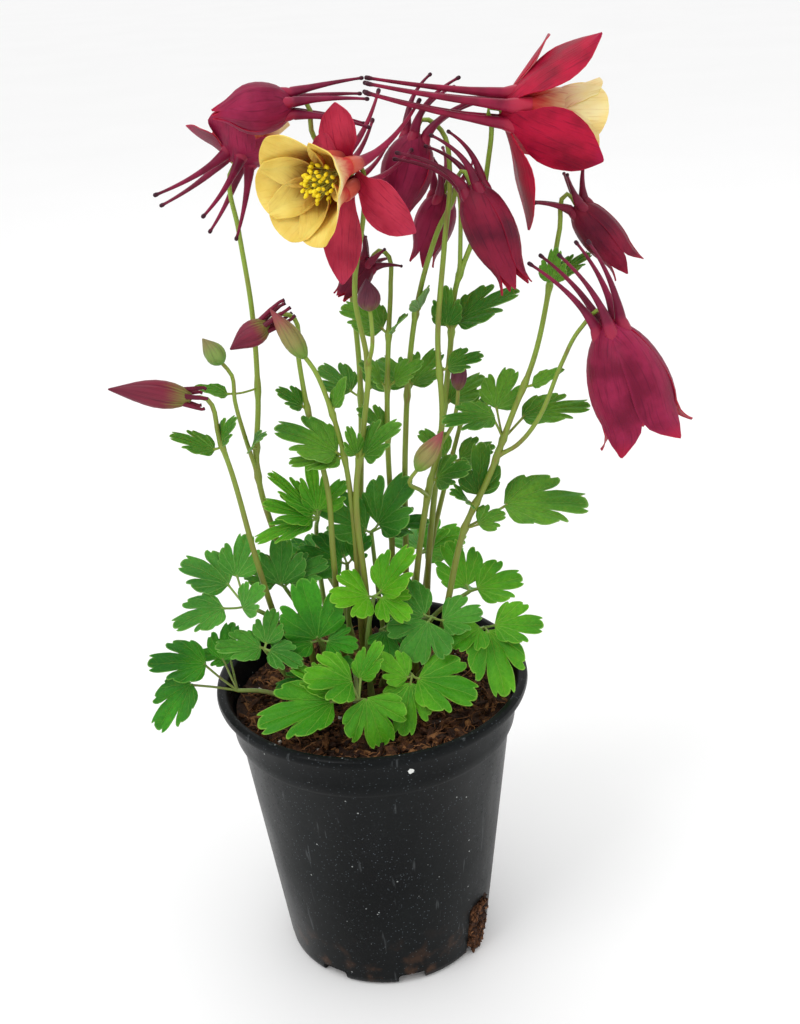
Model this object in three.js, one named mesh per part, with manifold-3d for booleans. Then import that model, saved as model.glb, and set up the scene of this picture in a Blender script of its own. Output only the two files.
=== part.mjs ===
// A columbine (an Aquilegia hybrid) with crimson and yellow flowers, growing in a round black
// nursery pot. Millimetres, +Z up. The origin is the middle of the pot's flat underside, and -Y is
// the side that the open flower faces.
import * as THREE from 'three';
import { mergeVertices } from 'three/addons/utils/BufferGeometryUtils.js';
import Module from 'manifold-3d';

const wasm = await Module();
wasm.setup();

// ---------------------------------------------------------------- driving dimensions

const GAP = 0.4; // free space left between neighbouring pieces

const POT = {
  height: 130,
  baseRadius: 42,
  footRadius: 45, // outside, just above the rounded foot
  shoulderRadius: 57, // outside, just under the step
  stepHeight: 109,
  bandRadius: 59.3, // outside, just above the step
  bandFlare: 1.4, // how much wider the band is under the lip
  lipRadius: 65,
  lipDepth: 5,
  wall: 1.3,
  floor: 1.8,
  sides: 24,
};

const DRAIN = { count: 8, width: 12, height: 5, depth: 7, turn: -35 };
const SIDE_SLOT = { width: 14, height: 27 }; // the drain at DRAIN.turn runs on up the wall

const SOIL = { level: 117.5, roughness: 1.6, holeDepth: 10, plugReach: 2.2, rings: [30] };

const BLADE = 0.66; // thickness of every leaf, petal and sepal
const STEM = { foot: 1.5, top: 1, spacing: 32 };
const BRANCH = { foot: 0.95, top: 0.8, spacing: 32 };
const PETIOLE = { foot: 1.1, top: 1.05, spacing: 32 };
const STALK_SIDES = 4;
const OVERRUN = 0.8; // of a petiole, past the point where its leaflets meet
const STALKLET = 0.5; // half the width of the stalk under each leaflet
const FULLNESS = { length: 1.16, width: 1.3 }; // how far leaflets outgrow their layout
const FAN_HEART = 0.2; // where a leaflet's fan of triangles meets, as a share of its length
const FOLD = 0.22; // rise of a leaflet's sides from its midrib
const DROOP = 0.16; // fall of a leaflet's tip, as a share of its length

const LEAF_FACE = [0, -0.5, 0.86]; // the way most leaflets face: up and to the front

// Half of a leaflet's edge, as [degrees from the midrib, reach as a share of the length]. Three lobes,
// each cut into rounded teeth; the other half mirrors this one. Short leaflets have fewer teeth, and
// narrow ones are plain bracts.
const TOOTHED_EDGE = [[0, 1], [19, 0.97], [30, 0.62], [43, 0.95], [72, 0.76]];
const LOBED_EDGE = [[0, 1], [22, 0.94], [32, 0.62], [60, 0.84]];
const BRACT_EDGE = [[0, 1], [25, 0.66], [66, 0.4]];
const SHORT_LEAFLET = 16; // millimetres
const BRACT_SLIMNESS = 0.62; // width as a share of length, below which a short leaflet is a bract

const FINISH = {
  pot: { color: 0x16181b, roughness: 0.42, metalness: 0 },
  soil: { color: 0x3b2618, roughness: 0.95, metalness: 0 },
  stem: { color: 0x7f9a3e, roughness: 0.6, metalness: 0 },
  leaf: { color: 0x3f8c2c, roughness: 0.62, metalness: 0 },
  crimson: { color: 0x8f1d3c, roughness: 0.55, metalness: 0 },
  yellow: { color: 0xe6cb6e, roughness: 0.55, metalness: 0 },
  anther: { color: 0xdcc92c, roughness: 0.6, metalness: 0 },
  bud: { color: 0x9c4a55, roughness: 0.6, metalness: 0 },
};

const LEAD = 6; // how far behind a flower its stem turns onto the axis

// ---------------------------------------------------------------- layout

// Basal leaves. Each rises from its foot in the soil through its bends to a hub, where short stalks
// carry the leaflets. A leaflet is its base, its tip and its width.
const BASAL_LEAVES = [
  {
    name: 'leaf_front', foot: [-6, 4], bends: [[-7, -10, 138]], hub: [-6, -33, 137],
    leaflets: [
      [-8, -30, 144, -22, -37, 152, 18], [-5, -29, 144, 2, -26, 156, 9], [-16, -34, 138, -41, -40, 137, 19],
      [-14, -31, 140, -28, -27, 150, 10], [-3, -35, 139, 2, -43, 125, 20],
    ],
  },
  {
    name: 'leaf_front_right', foot: [4, 5], bends: [[8, -6, 136]], hub: [16, -21, 139],
    leaflets: [
      [18, -24, 139, 37, -32, 137, 20], [15, -25, 138, 11, -38, 127, 16], [14, -23, 139, 5, -23, 149, 12],
    ],
  },
  {
    name: 'leaf_middle_right', foot: [12, 10], bends: [[18, 4, 148]], hub: [26, -5, 156],
    leaflets: [
      [24, -10, 157, 17, -18, 147, 22], [23, -7, 158, 10, 0, 169, 15], [30, -9, 156, 43, -12, 161, 14],
    ],
  },
  {
    name: 'leaf_right_rim', foot: [20, 9], bends: [[28, -6, 140]], hub: [47, -8, 151],
    leaflets: [
      [48, -12, 152, 52, -28, 136, 18], [51, -10, 153, 67, -14, 155, 15], [45, -11, 153, 35, -18, 151, 15],
    ],
  },
  {
    name: 'leaf_right_back', foot: [17, 19], bends: [[28, 14, 146]], hub: [43, 9, 159],
    leaflets: [
      [42, 10, 161, 37, 17, 176, 16], [46, 7, 161, 62, 8, 165, 16], [43, 12, 158, 46, 24, 155, 12],
    ],
  },
  {
    name: 'leaf_bright', foot: [-1, -2], bends: [[-1, -3, 146]], hub: [3, -4, 167],
    leaflets: [
      [1, -7, 169, -11, -13, 173, 18], [6, -6, 170, 16, -7, 186, 14], [6, -7, 168, 15, -14, 163, 14],
    ],
  },
  {
    name: 'leaf_upper_left', foot: [-9, 24], bends: [[-8, 22, 150]], hub: [-7, 17, 172],
    leaflets: [
      [-9, 15, 174, -24, 12, 181, 17], [-5, 15, 175, 1, 12, 185, 11], [-8, 19, 175, -14, 28, 182, 12],
    ],
  },
  {
    name: 'leaf_left_big', foot: [-14, 6], bends: [[-17, 0, 138]], hub: [-20, -9, 152],
    leaflets: [
      [-21, -12, 154, -24, -10, 175, 20], [-23, -13, 153, -36, -17, 157, 12],
      [-17, -13, 153, -7, -17, 153, 13],
    ],
  },
  {
    name: 'leaf_left_back', foot: [-20, 20], bends: [[-21, 12, 140]], hub: [-33, 3, 171],
    leaflets: [
      [-34, 1, 173, -33, 6, 188, 16], [-31, 3, 173, -18, 5, 180, 13], [-36, 3, 173, -47, 4, 183, 12],
    ],
  },
  {
    name: 'leaf_left', foot: [-24, 2], bends: [[-33, -3, 148], [-41, -8, 165]], hub: [-48, -10, 170],
    leaflets: [
      [-54, -7, 179, -69, -3, 188, 15], [-51, -5, 181, -47, 1, 194, 13], [-56, -17, 174, -72, -24, 174, 13],
      [-49, -14, 171, -42, -17, 181, 12],
    ],
  },
  {
    name: 'leaf_left_rim', foot: [-18, -3], bends: [[-32, -14, 128], [-46, -14, 133]], hub: [-55, -14, 134],
    leaflets: [
      [-57, -5, 146, -68, -8, 149, 10], [-66, -15, 148, -84, -19, 154, 15], [-60, -11, 147, -56, -4, 158, 12],
      [-72, -20, 143, -86, -27, 131, 14],
    ],
  },
  {
    name: 'leaf_strip', foot: [-27, -5], bends: [[-36, -12, 140]], hub: [-42, -18, 155],
    leaflets: [
      [-43, -19, 156, -57, -23, 161, 11], [-41, -18, 157, -38, -14, 168, 10],
      [-40, -20, 155, -29, -26, 153, 10],
    ],
  },
  {
    name: 'leaf_low_left', foot: [-12, -6], bends: [[-16, -10, 130]], hub: [-20, -15, 137],
    leaflets: [
      [-22, -16, 138, -36, -20, 139, 9], [-19, -18, 138, -18, -28, 135, 10],
      [-18, -15, 139, -10, -18, 146, 11],
    ],
  },
  {
    name: 'leaf_centre', foot: [6, 14], bends: [[5, 10, 140]], hub: [5, 2, 148],
    leaflets: [[6, -1, 149, 7, -12, 145, 14], [7, 1, 150, 18, -2, 148, 12]],
  },
  {
    name: 'leaf_high', foot: [7, 27], bends: [[5, 25, 160]], hub: [4, 17, 186],
    leaflets: [
      [2, 14, 188, -13, 12, 202, 18], [7, 15, 190, 17, 12, 208, 20], [8, 15, 189, 25, 11, 193, 12],
    ],
  },
  {
    name: 'leaf_tuft', foot: [-16, 28], bends: [[-19, 30, 160], [-19, 28, 182]], hub: [-17, 7, 199],
    leaflets: [
      [-18, 6, 201, -31, 8, 217, 8], [-19, 5, 200, -34, 2, 209, 11], [-19, 4, 199, -39, 0, 197, 9],
      [-17, 6, 202, -18, 9, 219, 9], [-16, 9, 201, -7, 14, 210, 11],
    ],
  },
  {
    name: 'leaf_back_right', foot: [14, 31], bends: [[20, 36, 148]], hub: [25, 42, 162],
    leaflets: [
      [27, 44, 163, 42, 50, 168, 18], [25, 45, 163, 22, 62, 166, 18], [27, 41, 163, 40, 36, 170, 13],
    ],
  },
  {
    name: 'leaf_back_left', foot: [-6, 34], bends: [[-12, 40, 146]], hub: [-19, 46, 158],
    leaflets: [
      [-22, 47, 159, -38, 48, 163, 16], [-18, 49, 160, -12, 64, 164, 18], [-21, 45, 160, -34, 37, 166, 15],
    ],
  },
];

// Flowering stems. Each route, and each branch that leaves it, runs on to the flower or bud that it
// carries, coming in along that one's axis. Leaves and bracts sit on swellings of the stem.
const FLOWERING_STEMS = [
  {
    name: 'stem_far_left', foot: [-30, 8], carries: 'bud_far_left',
    route: [[-36, 0, 150], [-42, -9, 190], [-47, -14, 229], [-50, -16, 245]],
    leaves: [
      {
        from: [-50, -16, 241],
        leaflets: [[-49, -17, 243, -45, -22, 253, 8], [-52, -17, 240, -64, -19, 248, 7]],
      },
    ],
  },
  {
    name: 'stem_left', foot: [-24, 14], carries: 'flower_left',
    route: [[-28, 14, 160], [-35, 11, 190], [-39, 5, 222], [-36, 8, 250], [-35, 11, 284], [-37, 13, 315]],
    branches: [{ carries: 'bud_green', route: [[-39, 5, 220], [-42, 1, 238], [-44, -2, 254]] }],
    leaves: [
      { from: [-41, 2, 232], leaflets: [[-40, 0, 233, -36, -6, 241, 8]] },
      { from: [-44, -2, 256], leaflets: [[-46, -4, 257, -55, -8, 263, 5]] },
    ],
  },
  {
    name: 'stem_pink_bud', foot: [-11, 15], carries: 'bud_pink',
    route: [[-12, 4, 160], [-12, 0, 188], [-12, 2, 212], [-17, 6, 243], [-19, 5, 268], [-19, 4, 282]],
    leaves: [
      { from: [-17, 6, 245], leaflets: [[-19, 5, 247, -26, 2, 255, 8]] },
    ],
  },
  {
    name: 'stem_slim_bud', foot: [-3, 14], carries: 'bud_slim',
    route: [[-3, 5, 160], [-3, 0, 206], [-5, -3, 232], [-9, -5, 252]],
    leaves: [
      { from: [-5, -2, 228], leaflets: [[-7, -3, 230, -25, -3, 242, 15], [-6, -4, 228, -22, -8, 231, 9]] },
      { from: [-8, -4, 247], leaflets: [[-7, -5, 249, -3, -7, 260, 5]] },
    ],
  },
  {
    name: 'stem_open_flower', foot: [0, 9], carries: 'flower_open',
    route: [
      [0, 6, 150], [0, 1, 168], [-1, -2, 212], [4, 0, 240], [7, 1, 262], [4, 3, 290], [9, -6, 321],
      [10, -10, 333],
    ],
    branches: [{ carries: 'bud_round', route: [[7, 1, 263], [9, -5, 272]] }],
    leaves: [{ from: [1, -1, 226], leaflets: [[3, -3, 228, 13, -8, 241, 12], [0, -4, 229, -1, -9, 240, 7]] }],
  },
  {
    name: 'stem_young_flower', foot: [10, 20], carries: 'flower_young',
    route: [
      [12, 25, 165], [13, 25, 195], [13, 16, 222], [14, 13, 247], [16, 15, 270], [18, 16, 290],
      [18, 16, 300],
    ],
    leaves: [
      { from: [13, 15, 229], leaflets: [[12, 13, 231, 5, 9, 242, 11]] },
      { from: [14, 13, 250], leaflets: [[12, 11, 252, 7, 5, 262, 11], [17, 12, 252, 26, 9, 262, 10]] },
      { from: [16, 15, 270], leaflets: [[18, 13, 272, 23, 6, 281, 8], [14, 17, 272, 2, 20, 281, 13]] },
    ],
  },
  {
    name: 'stem_first_bell', foot: [-2, 28], carries: 'flower_first_bell',
    route: [[-1, 30, 170], [4, 31, 250], [2, 26, 300], [-1, 15, 335], [-4, 3, 343], [-7, -6, 351]],
    leaves: [
      { from: [4, 31, 240], leaflets: [[0, 33, 242, -10, 39, 251, 12], [8, 33, 243, 18, 40, 250, 12]] },
    ],
  },
  {
    name: 'stem_hidden_bell', foot: [16, 26], carries: 'flower_hidden_bell',
    route: [[18, 25, 170], [20, 19, 220], [24, 15, 262], [29, 8, 290], [36, 8, 310], [43.5, 9, 325]],
    leaves: [
      { from: [22, 17, 245], leaflets: [[22, 20, 247, 14, 28, 256, 12], [24, 19, 248, 34, 25, 258, 12]] },
      { from: [27, 11, 279], leaflets: [[28, 9, 281, 29, 2, 291, 9]] },
    ],
  },
  {
    name: 'stem_tall', foot: [19, 14], carries: 'flower_dark_left',
    route: [
      [21, 9, 165], [27, 5, 204], [34, 2, 236], [34, 2, 272], [38, 1, 308], [41, 3, 332], [39, 8.5, 346],
    ],
    branches: [
      { carries: 'bud_dark', route: [[34, 2, 228], [38, 3, 235], [40, 3, 242]] },
      { carries: 'bud_low', route: [[27, 5, 206], [24, -3, 212]] },
    ],
    leaves: [
      { from: [29, 4, 212], leaflets: [[31, 2, 214, 41, -4, 221, 13]] },
      { from: [34, 2, 258], leaflets: [[37, 1, 260, 48, -2, 265, 9]] },
    ],
  },
  {
    name: 'stem_great_flower', foot: [24, 22], carries: 'flower_great',
    route: [
      [27, 17, 170], [33, 12, 220], [39, 11, 262], [42, 9, 288], [50, 2, 312], [54, -4, 336], [55, -8.5, 350],
    ],
    branches: [{ carries: 'flower_dark_bell', route: [[44, 8, 294], [44, -1, 320], [43, -9, 333]] }],
    leaves: [
      { from: [40, 11, 271], leaflets: [[42, 9, 275, 60, 5, 287, 13], [38, 8, 274, 38, 3, 287, 9]] },
      { from: [36, 12, 240], leaflets: [[38, 13, 242, 50, 17, 250, 11]] },
    ],
  },
  {
    name: 'stem_right', foot: [27, 12], carries: 'flower_small_right',
    route: [
      [33, -1, 160], [41, -3, 194], [51, -3, 215], [60, -4, 239], [70, -3, 264], [77, -1, 295], [80, 0, 310],
    ],
    branches: [
      {
        carries: 'flower_right_bell',
        route: [[55, -4, 224], [62, -6, 229], [70, -10, 241], [78, -14, 263], [84, -22, 279]],
      },
    ],
    leaves: [
      { from: [41, -3, 194], leaflets: [[57, -1, 202, 86, -1, 203, 19], [46, -7, 197, 55, -6, 201, 10]] },
      { from: [46, -3, 204], leaflets: [[47, -1, 207, 49, 3, 224, 13], [43, -5, 206, 38, -11, 215, 11]] },
      {
        from: [57, -4, 231],
        leaflets: [
          [55, 1, 242, 61, 6, 254, 13], [54, -5, 241, 37, -8, 243, 11], [65, 1, 238, 87, 0, 243, 11],
        ],
      },
      { from: [65, -4, 252], leaflets: [[68, -7, 253, 77, -11, 260, 6]] },
      { from: [76, -1, 289], leaflets: [[76, -4, 291, 77, -7, 302, 8], [78, 1, 291, 90, 6, 299, 6]] },
    ],
  },
  {
    name: 'stem_right_back', foot: [22, 30],
    route: [[28, 30, 165], [37, 25, 205], [44, 22, 232]],
    leaves: [
      { from: [39, 24, 212], leaflets: [[42, 22, 213, 53, 18, 220, 12], [37, 26, 214, 29, 30, 223, 11]] },
      { from: [44, 22, 231], leaflets: [[45, 22, 233, 48, 23, 245, 8], [46, 23, 232, 56, 27, 238, 8]] },
    ],
  },
];

// Flowers. at is the middle of the flower, where sepals and spurs meet, axis the way the mouth looks,
// and size its girth beside the fully open flower. The first of the five sepals is at turn, unless turns
// gives all five. flare is the angle that a sepal or petal keeps to the axis, at even steps from its foot
// to its tip. For each sepal, reach is its share of the full length, and lean what its flare gains beyond
// the foot. Spurs run back from the mouth: spread is their angle to the axis, curl how much they bend on,
// sway how far their tips lean.
const FLOWERS = [
  {
    name: 'flower_open', at: [5, -17, 338.5], axis: [-0.66, -0.75, -0.07], size: 1.04,
    turns: [100, 160, 212, 262, 324],
    sepal: { length: 34, width: 18, flare: [64, 88, 96], cup: 0.12 },
    reach: [0.62, 0.5, 0.9, 1.15, 0.92], lean: [6, 6, 4, -4, 4],
    spur: { length: 32, spread: 10, curl: 4, sway: [-2, -6, 12] },
    petal: { length: 22, width: 20, flare: [32, 36, 46] },
  },
  {
    name: 'flower_great', at: [60, -8, 354], axis: [0.97, 0.12, -0.17], size: 1.03,
    turns: [50, 112, 206, 270, 342],
    sepal: { length: 40, width: 23, flare: [58, 36, 42], cup: 0.15 },
    reach: [0.9, 1, 1, 1.05, 0.9], lean: [20, 4, -8, 32, 0],
    spur: { length: 49, spread: -2, curl: -2, sway: [0, 0, 3] },
    petal: { length: 25, width: 20, flare: [14, 12, 26] },
  },
  {
    name: 'flower_first_bell', at: [-14, -7, 360], axis: [-0.99, -0.12, -0.04], size: 0.76, turn: 54,
    sepal: { length: 32, flare: [70, 24, -8, -40, -14] },
    spur: { length: 26, spread: 8, curl: 6, sway: [0, 0, -3] },
  },
  {
    name: 'flower_left', at: [-35, 14, 339.5], axis: [0.5, 0.33, 0.8], size: 1, turn: 53,
    sepal: { length: 27, width: 20, flare: [62, 60, 48], cup: 0.16 },
    reach: [0.75, 1, 1, 1, 1], lean: [26, 0, 0, 0, 0],
    spur: { length: 26, spread: 22, curl: 12, sway: [-6, 0, 0] },
    petal: { length: 13, width: 12, flare: [26, 22, 20] },
  },
  {
    name: 'flower_dark_left', at: [30, 8, 344.5], axis: [-0.34, -0.2, -0.91], size: 0.78, turn: 16,
    sepal: { length: 36, flare: [66, 22, -6, -28, 6] },
    spur: { length: 24, spread: 18, curl: 14, sway: [12, 0, -5] },
  },
  {
    name: 'flower_dark_bell', at: [47, -16, 329.5], axis: [0.36, -0.28, -0.89], size: 0.78, turn: 11,
    sepal: { length: 42, flare: [60, 14, -6, -22, 24] },
    spur: { length: 22, spread: 14, curl: 10, sway: [-10, -3, -4] },
  },
  {
    name: 'flower_hidden_bell', at: [39.5, 18, 321], axis: [-0.34, 0.1, -0.92], size: 0.75, turn: 52,
    sepal: { length: 31, flare: [64, 18, -6, -24, 20] },
    spur: { length: 20, spread: 18, curl: 10, sway: [-6, 4, -4] },
  },
  {
    name: 'flower_small_right', at: [87, 2, 317], axis: [0.62, -0.2, -0.76], size: 0.68, turn: 40,
    sepal: { length: 33, flare: [60, 14, -2, -14, 30] },
    spur: { length: 15, spread: 30, curl: 24, sway: [0, 0, 0] },
  },
  {
    name: 'flower_right_bell', at: [93, -26, 280], axis: [0.3, -0.17, -0.94], size: 0.95, turn: 50,
    sepal: { length: 51, flare: [58, 28, 8, -12, 56] },
    spur: { length: 29, spread: 11, curl: 4, sway: [-9, -3, 0] },
  },
  {
    name: 'flower_young', at: [10, 13, 299], axis: [-0.7, -0.2, -0.68], size: 0.58, turn: 50,
    sepal: { length: 20, flare: [66, 22, -6, -30, 6] },
    spur: { length: 10, spread: 36, curl: 26, sway: [0, 0, 0] },
  },
];

// Buds: closed sepals round a pointed oval, with short spurs behind. at is the foot of the oval.
const BUDS = [
  { name: 'bud_far_left', at: [-58, -19, 262], axis: [-0.93, -0.3, 0.28], length: 30, radius: 5.2, spur: 5 },
  { name: 'bud_pink', at: [-29, 1, 282], axis: [-0.85, -0.25, -0.46], length: 17, radius: 5, spur: 10 },
  { name: 'bud_green', at: [-47, -3, 269], axis: [-0.5, -0.1, 0.86], length: 12, radius: 4, spur: 0 },
  { name: 'bud_slim', at: [-16, -6, 270], axis: [-0.5, 0, 0.86], length: 22, radius: 4, spur: 0 },
  { name: 'bud_round', at: [9, -9, 287], axis: [-0.05, -0.1, 1], length: 12, radius: 4.4, spur: 0 },
  { name: 'bud_low', at: [23, -9, 223], axis: [0.55, -0.1, 0.83], length: 19, radius: 4.2, spur: 0 },
  { name: 'bud_dark', at: [41, 3, 250], axis: [0.1, 0, 0.99], length: 14, radius: 3.2, spur: 0 },
];

// ---------------------------------------------------------------- solids

const vec = (p) => new THREE.Vector3(p[0], p[1], p[2]);
const radians = THREE.MathUtils.degToRad;

// A repeatable draw between 0 and 1 for a whole number.
function draw(n) {
  const wave = Math.sin(n * 12.9898) * 43758.5453;
  return wave - Math.floor(wave);
}

function solidOf(points, faces) {
  const vertProperties = new Float32Array(points.flatMap((p) => [p.x, p.y, p.z]));
  const triVerts = new Uint32Array(faces.flat());
  return new wasm.Manifold(new wasm.Mesh({ numProp: 3, vertProperties, triVerts }));
}

function solidOfGeometry(geometry) {
  const bare = geometry.clone();
  bare.deleteAttribute('normal');
  bare.deleteAttribute('uv');
  const merged = mergeVertices(bare, 1e-4);
  const vertProperties = new Float32Array(merged.attributes.position.array);
  const triVerts = new Uint32Array(merged.index.array);
  return new wasm.Manifold(new wasm.Mesh({ numProp: 3, vertProperties, triVerts }));
}

const fuse = (solids) => solids.reduce((whole, next) => whole.add(next));

function meshOf(name, solid, finish) {
  const { vertProperties, triVerts } = solid.getMesh();
  const geometry = new THREE.BufferGeometry();
  geometry.setAttribute('position', new THREE.BufferAttribute(new Float32Array(vertProperties), 3));
  geometry.setIndex(new THREE.BufferAttribute(new Uint32Array(triVerts), 1));
  geometry.computeVertexNormals();
  const mesh = new THREE.Mesh(geometry, new THREE.MeshStandardMaterial(FINISH[finish]));
  mesh.name = name;
  return mesh;
}

// The way ahead at each point of a line: halfway between the ways in and out of it.
function waysAlong(centres) {
  const ahead = centres.slice(1).map((centre, i) => centre.clone().sub(centres[i]).normalize());
  return centres.map((_, i) => {
    const way = ahead[Math.max(0, i - 1)].clone().add(ahead[Math.min(i, ahead.length - 1)]);
    return way.normalize();
  });
}

// A closed tube with a ring of points round each centre, capped at both ends. The rings stand square to
// the line, and each is turned as little as can be from the one before it.
function tubeThrough(centres, radii, sides) {
  const last = centres.length - 1;
  const ways = waysAlong(centres);
  const side = new THREE.Vector3(1, 0, 0);
  if (Math.abs(ways[0].x) > 0.9) side.set(0, 0, 1);
  const points = [];
  centres.forEach((centre, i) => {
    side.addScaledVector(ways[i], -side.dot(ways[i])).normalize();
    const across = ways[i].clone().cross(side);
    for (let k = 0; k < sides; k += 1) {
      const turn = (2 * Math.PI * k) / sides;
      const out = side.clone().multiplyScalar(Math.cos(turn)).addScaledVector(across, Math.sin(turn));
      points.push(centre.clone().addScaledVector(out, radii[i]));
    }
  });
  const faces = [];
  for (let i = 0; i < last; i += 1) {
    for (let k = 0; k < sides; k += 1) {
      const a = i * sides + k;
      const b = i * sides + ((k + 1) % sides);
      faces.push([a, b, b + sides], [a, b + sides, a + sides]);
    }
  }
  for (let k = 1; k < sides - 1; k += 1) {
    faces.push([0, k + 1, k], [last * sides, last * sides + k, last * sides + k + 1]);
  }
  return solidOf(points, faces);
}

// A line that bends smoothly through a few given points, cut into spans of about a spacing.
function smoothLine(route, spacing) {
  const curve = new THREE.CatmullRomCurve3(route, false, 'centripetal');
  const spans = route.length - 1;
  const line = [route[0]];
  for (let k = 0; k < spans; k += 1) {
    const cuts = Math.max(1, Math.round(route[k].distanceTo(route[k + 1]) / spacing));
    for (let j = 1; j <= cuts; j += 1) line.push(curve.getPoint((k + j / cuts) / spans));
  }
  return line;
}

// A stalk along a centre line, tapering from its foot to its top.
function stalk(line, { foot, top }) {
  const radii = line.map((_, i) => THREE.MathUtils.lerp(foot, top, i / (line.length - 1)));
  return tubeThrough(line, radii, STALK_SIDES);
}

// A shell whose outer and inner faces share one pattern of triangles. Every point is kept as a pair,
// half the blade's thickness to either side of the middle surface.
class Shell {
  constructor() {
    this.points = [];
    this.faces = [];
    this.known = new Map();
  }

  // Adds a pair at a place, or finds the one that already goes by that key.
  pair(key, place, normal) {
    if (!this.known.has(key)) {
      this.known.set(key, this.points.length / 2);
      this.points.push(place.clone().addScaledVector(normal, BLADE / 2));
      this.points.push(place.clone().addScaledVector(normal, -BLADE / 2));
    }
    return this.known.get(key);
  }

  // A patch of the outer face, its corners counter-clockwise as seen from outside.
  outer(...corners) {
    for (let k = 1; k < corners.length - 1; k += 1) {
      this.faces.push([2 * corners[0], 2 * corners[k], 2 * corners[k + 1]]);
    }
  }

  // The same patch of the inner face.
  inner(...corners) {
    for (let k = 1; k < corners.length - 1; k += 1) {
      this.faces.push([2 * corners[0] + 1, 2 * corners[k + 1] + 1, 2 * corners[k] + 1]);
    }
  }

  patch(...corners) {
    this.outer(...corners);
    this.inner(...corners);
  }

  // The edge between two pairs, taken the same way round as in the patch beside it.
  wall(a, b) {
    this.faces.push([2 * a, 2 * a + 1, 2 * b + 1], [2 * a, 2 * b + 1, 2 * b]);
  }

  solid() {
    return solidOf(this.points, this.faces);
  }
}

// ---------------------------------------------------------------- pot and soil

function potOuterProfile() {
  const { height, lipRadius, lipDepth } = POT;
  return [
    [0, 0],
    [POT.baseRadius, 0],
    [POT.footRadius, 4],
    [POT.shoulderRadius, POT.stepHeight - 1],
    [POT.bandRadius, POT.stepHeight + 1.5],
    [POT.bandRadius + POT.bandFlare, height - lipDepth],
    [lipRadius, height - lipDepth + 0.8],
    [lipRadius, height - 1],
    [lipRadius - 1.2, height],
    [lipRadius - 2.6, height],
  ];
}

// The inside of the wall and floor, drawn in by inset for what fills the pot.
function potInnerProfile(inset) {
  const slim = POT.wall + inset;
  return [
    [POT.bandRadius + POT.bandFlare - slim, POT.height - 3],
    [POT.bandRadius - slim, POT.stepHeight + 1.5],
    [POT.shoulderRadius - slim, POT.stepHeight - 1],
    [POT.footRadius - slim, 5 + inset],
    [POT.baseRadius - slim, POT.floor + inset],
    [0, POT.floor + inset],
  ];
}

function turned(profile) {
  const lathe = new THREE.LatheGeometry(profile.map(([r, z]) => new THREE.Vector2(r, z)), POT.sides);
  lathe.rotateX(Math.PI / 2);
  return lathe;
}

// A block standing out along the radius at a turn round the pot, for drains and their soil.
function radialBlock(turn, from, to, width, bottom, top) {
  const block = new THREE.BoxGeometry(to - from, width, top - bottom);
  block.translate((from + to) / 2, 0, (bottom + top) / 2);
  block.rotateZ(radians(turn));
  return solidOfGeometry(block);
}

function potSolid() {
  let pot = solidOfGeometry(turned([...potOuterProfile(), ...potInnerProfile(0)]));
  for (let i = 0; i < DRAIN.count; i += 1) {
    const turn = DRAIN.turn + (360 * i) / DRAIN.count;
    const from = POT.baseRadius - DRAIN.depth;
    const slot = i === 0 ? SIDE_SLOT : DRAIN;
    pot = pot.subtract(radialBlock(turn, from, POT.lipRadius, slot.width, -1, slot.height));
  }
  return pot;
}

// The growing medium: its top is gently heaped and rough, with a hole for each stalk.
function soilSolid(holes) {
  const edge = POT.bandRadius - POT.wall - GAP;
  const top = [edge, ...[...SOIL.rings].reverse(), 0].map((radius) => [radius, SOIL.level]);
  const geometry = turned([...potInnerProfile(GAP).slice(1).reverse(), ...top]);
  const place = geometry.attributes.position;
  for (let i = 0; i < place.count; i += 1) {
    const [x, y, z] = [place.getX(i), place.getY(i), place.getZ(i)];
    if (z === SOIL.level && Math.hypot(x, y) > 1) {
      const spot = Math.round(x) * 7 + Math.round(y) * 61;
      place.setZ(i, SOIL.level + SOIL.roughness * (2 * draw(spot) - 1));
    }
  }
  let soil = solidOfGeometry(geometry);
  const reach = POT.footRadius + 2 + SOIL.plugReach;
  const width = SIDE_SLOT.width - 2 * GAP;
  soil = soil.add(radialBlock(DRAIN.turn, 30, reach, width, 6, SIDE_SLOT.height - 2 * GAP));
  holes.forEach(({ foot, radius }) => {
    const hole = new THREE.CylinderGeometry(radius, radius, 2 * SOIL.holeDepth, STALK_SIDES);
    hole.rotateX(Math.PI / 2);
    hole.rotateZ(Math.PI / 4);
    hole.translate(foot[0], foot[1], SOIL.level);
    soil = soil.subtract(solidOfGeometry(hole));
  });
  return soil;
}

// ---------------------------------------------------------------- leaves

function leafletEdge(length, width) {
  if (length >= SHORT_LEAFLET) return TOOTHED_EDGE;
  return width < BRACT_SLIMNESS * length ? BRACT_EDGE : LOBED_EDGE;
}

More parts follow.
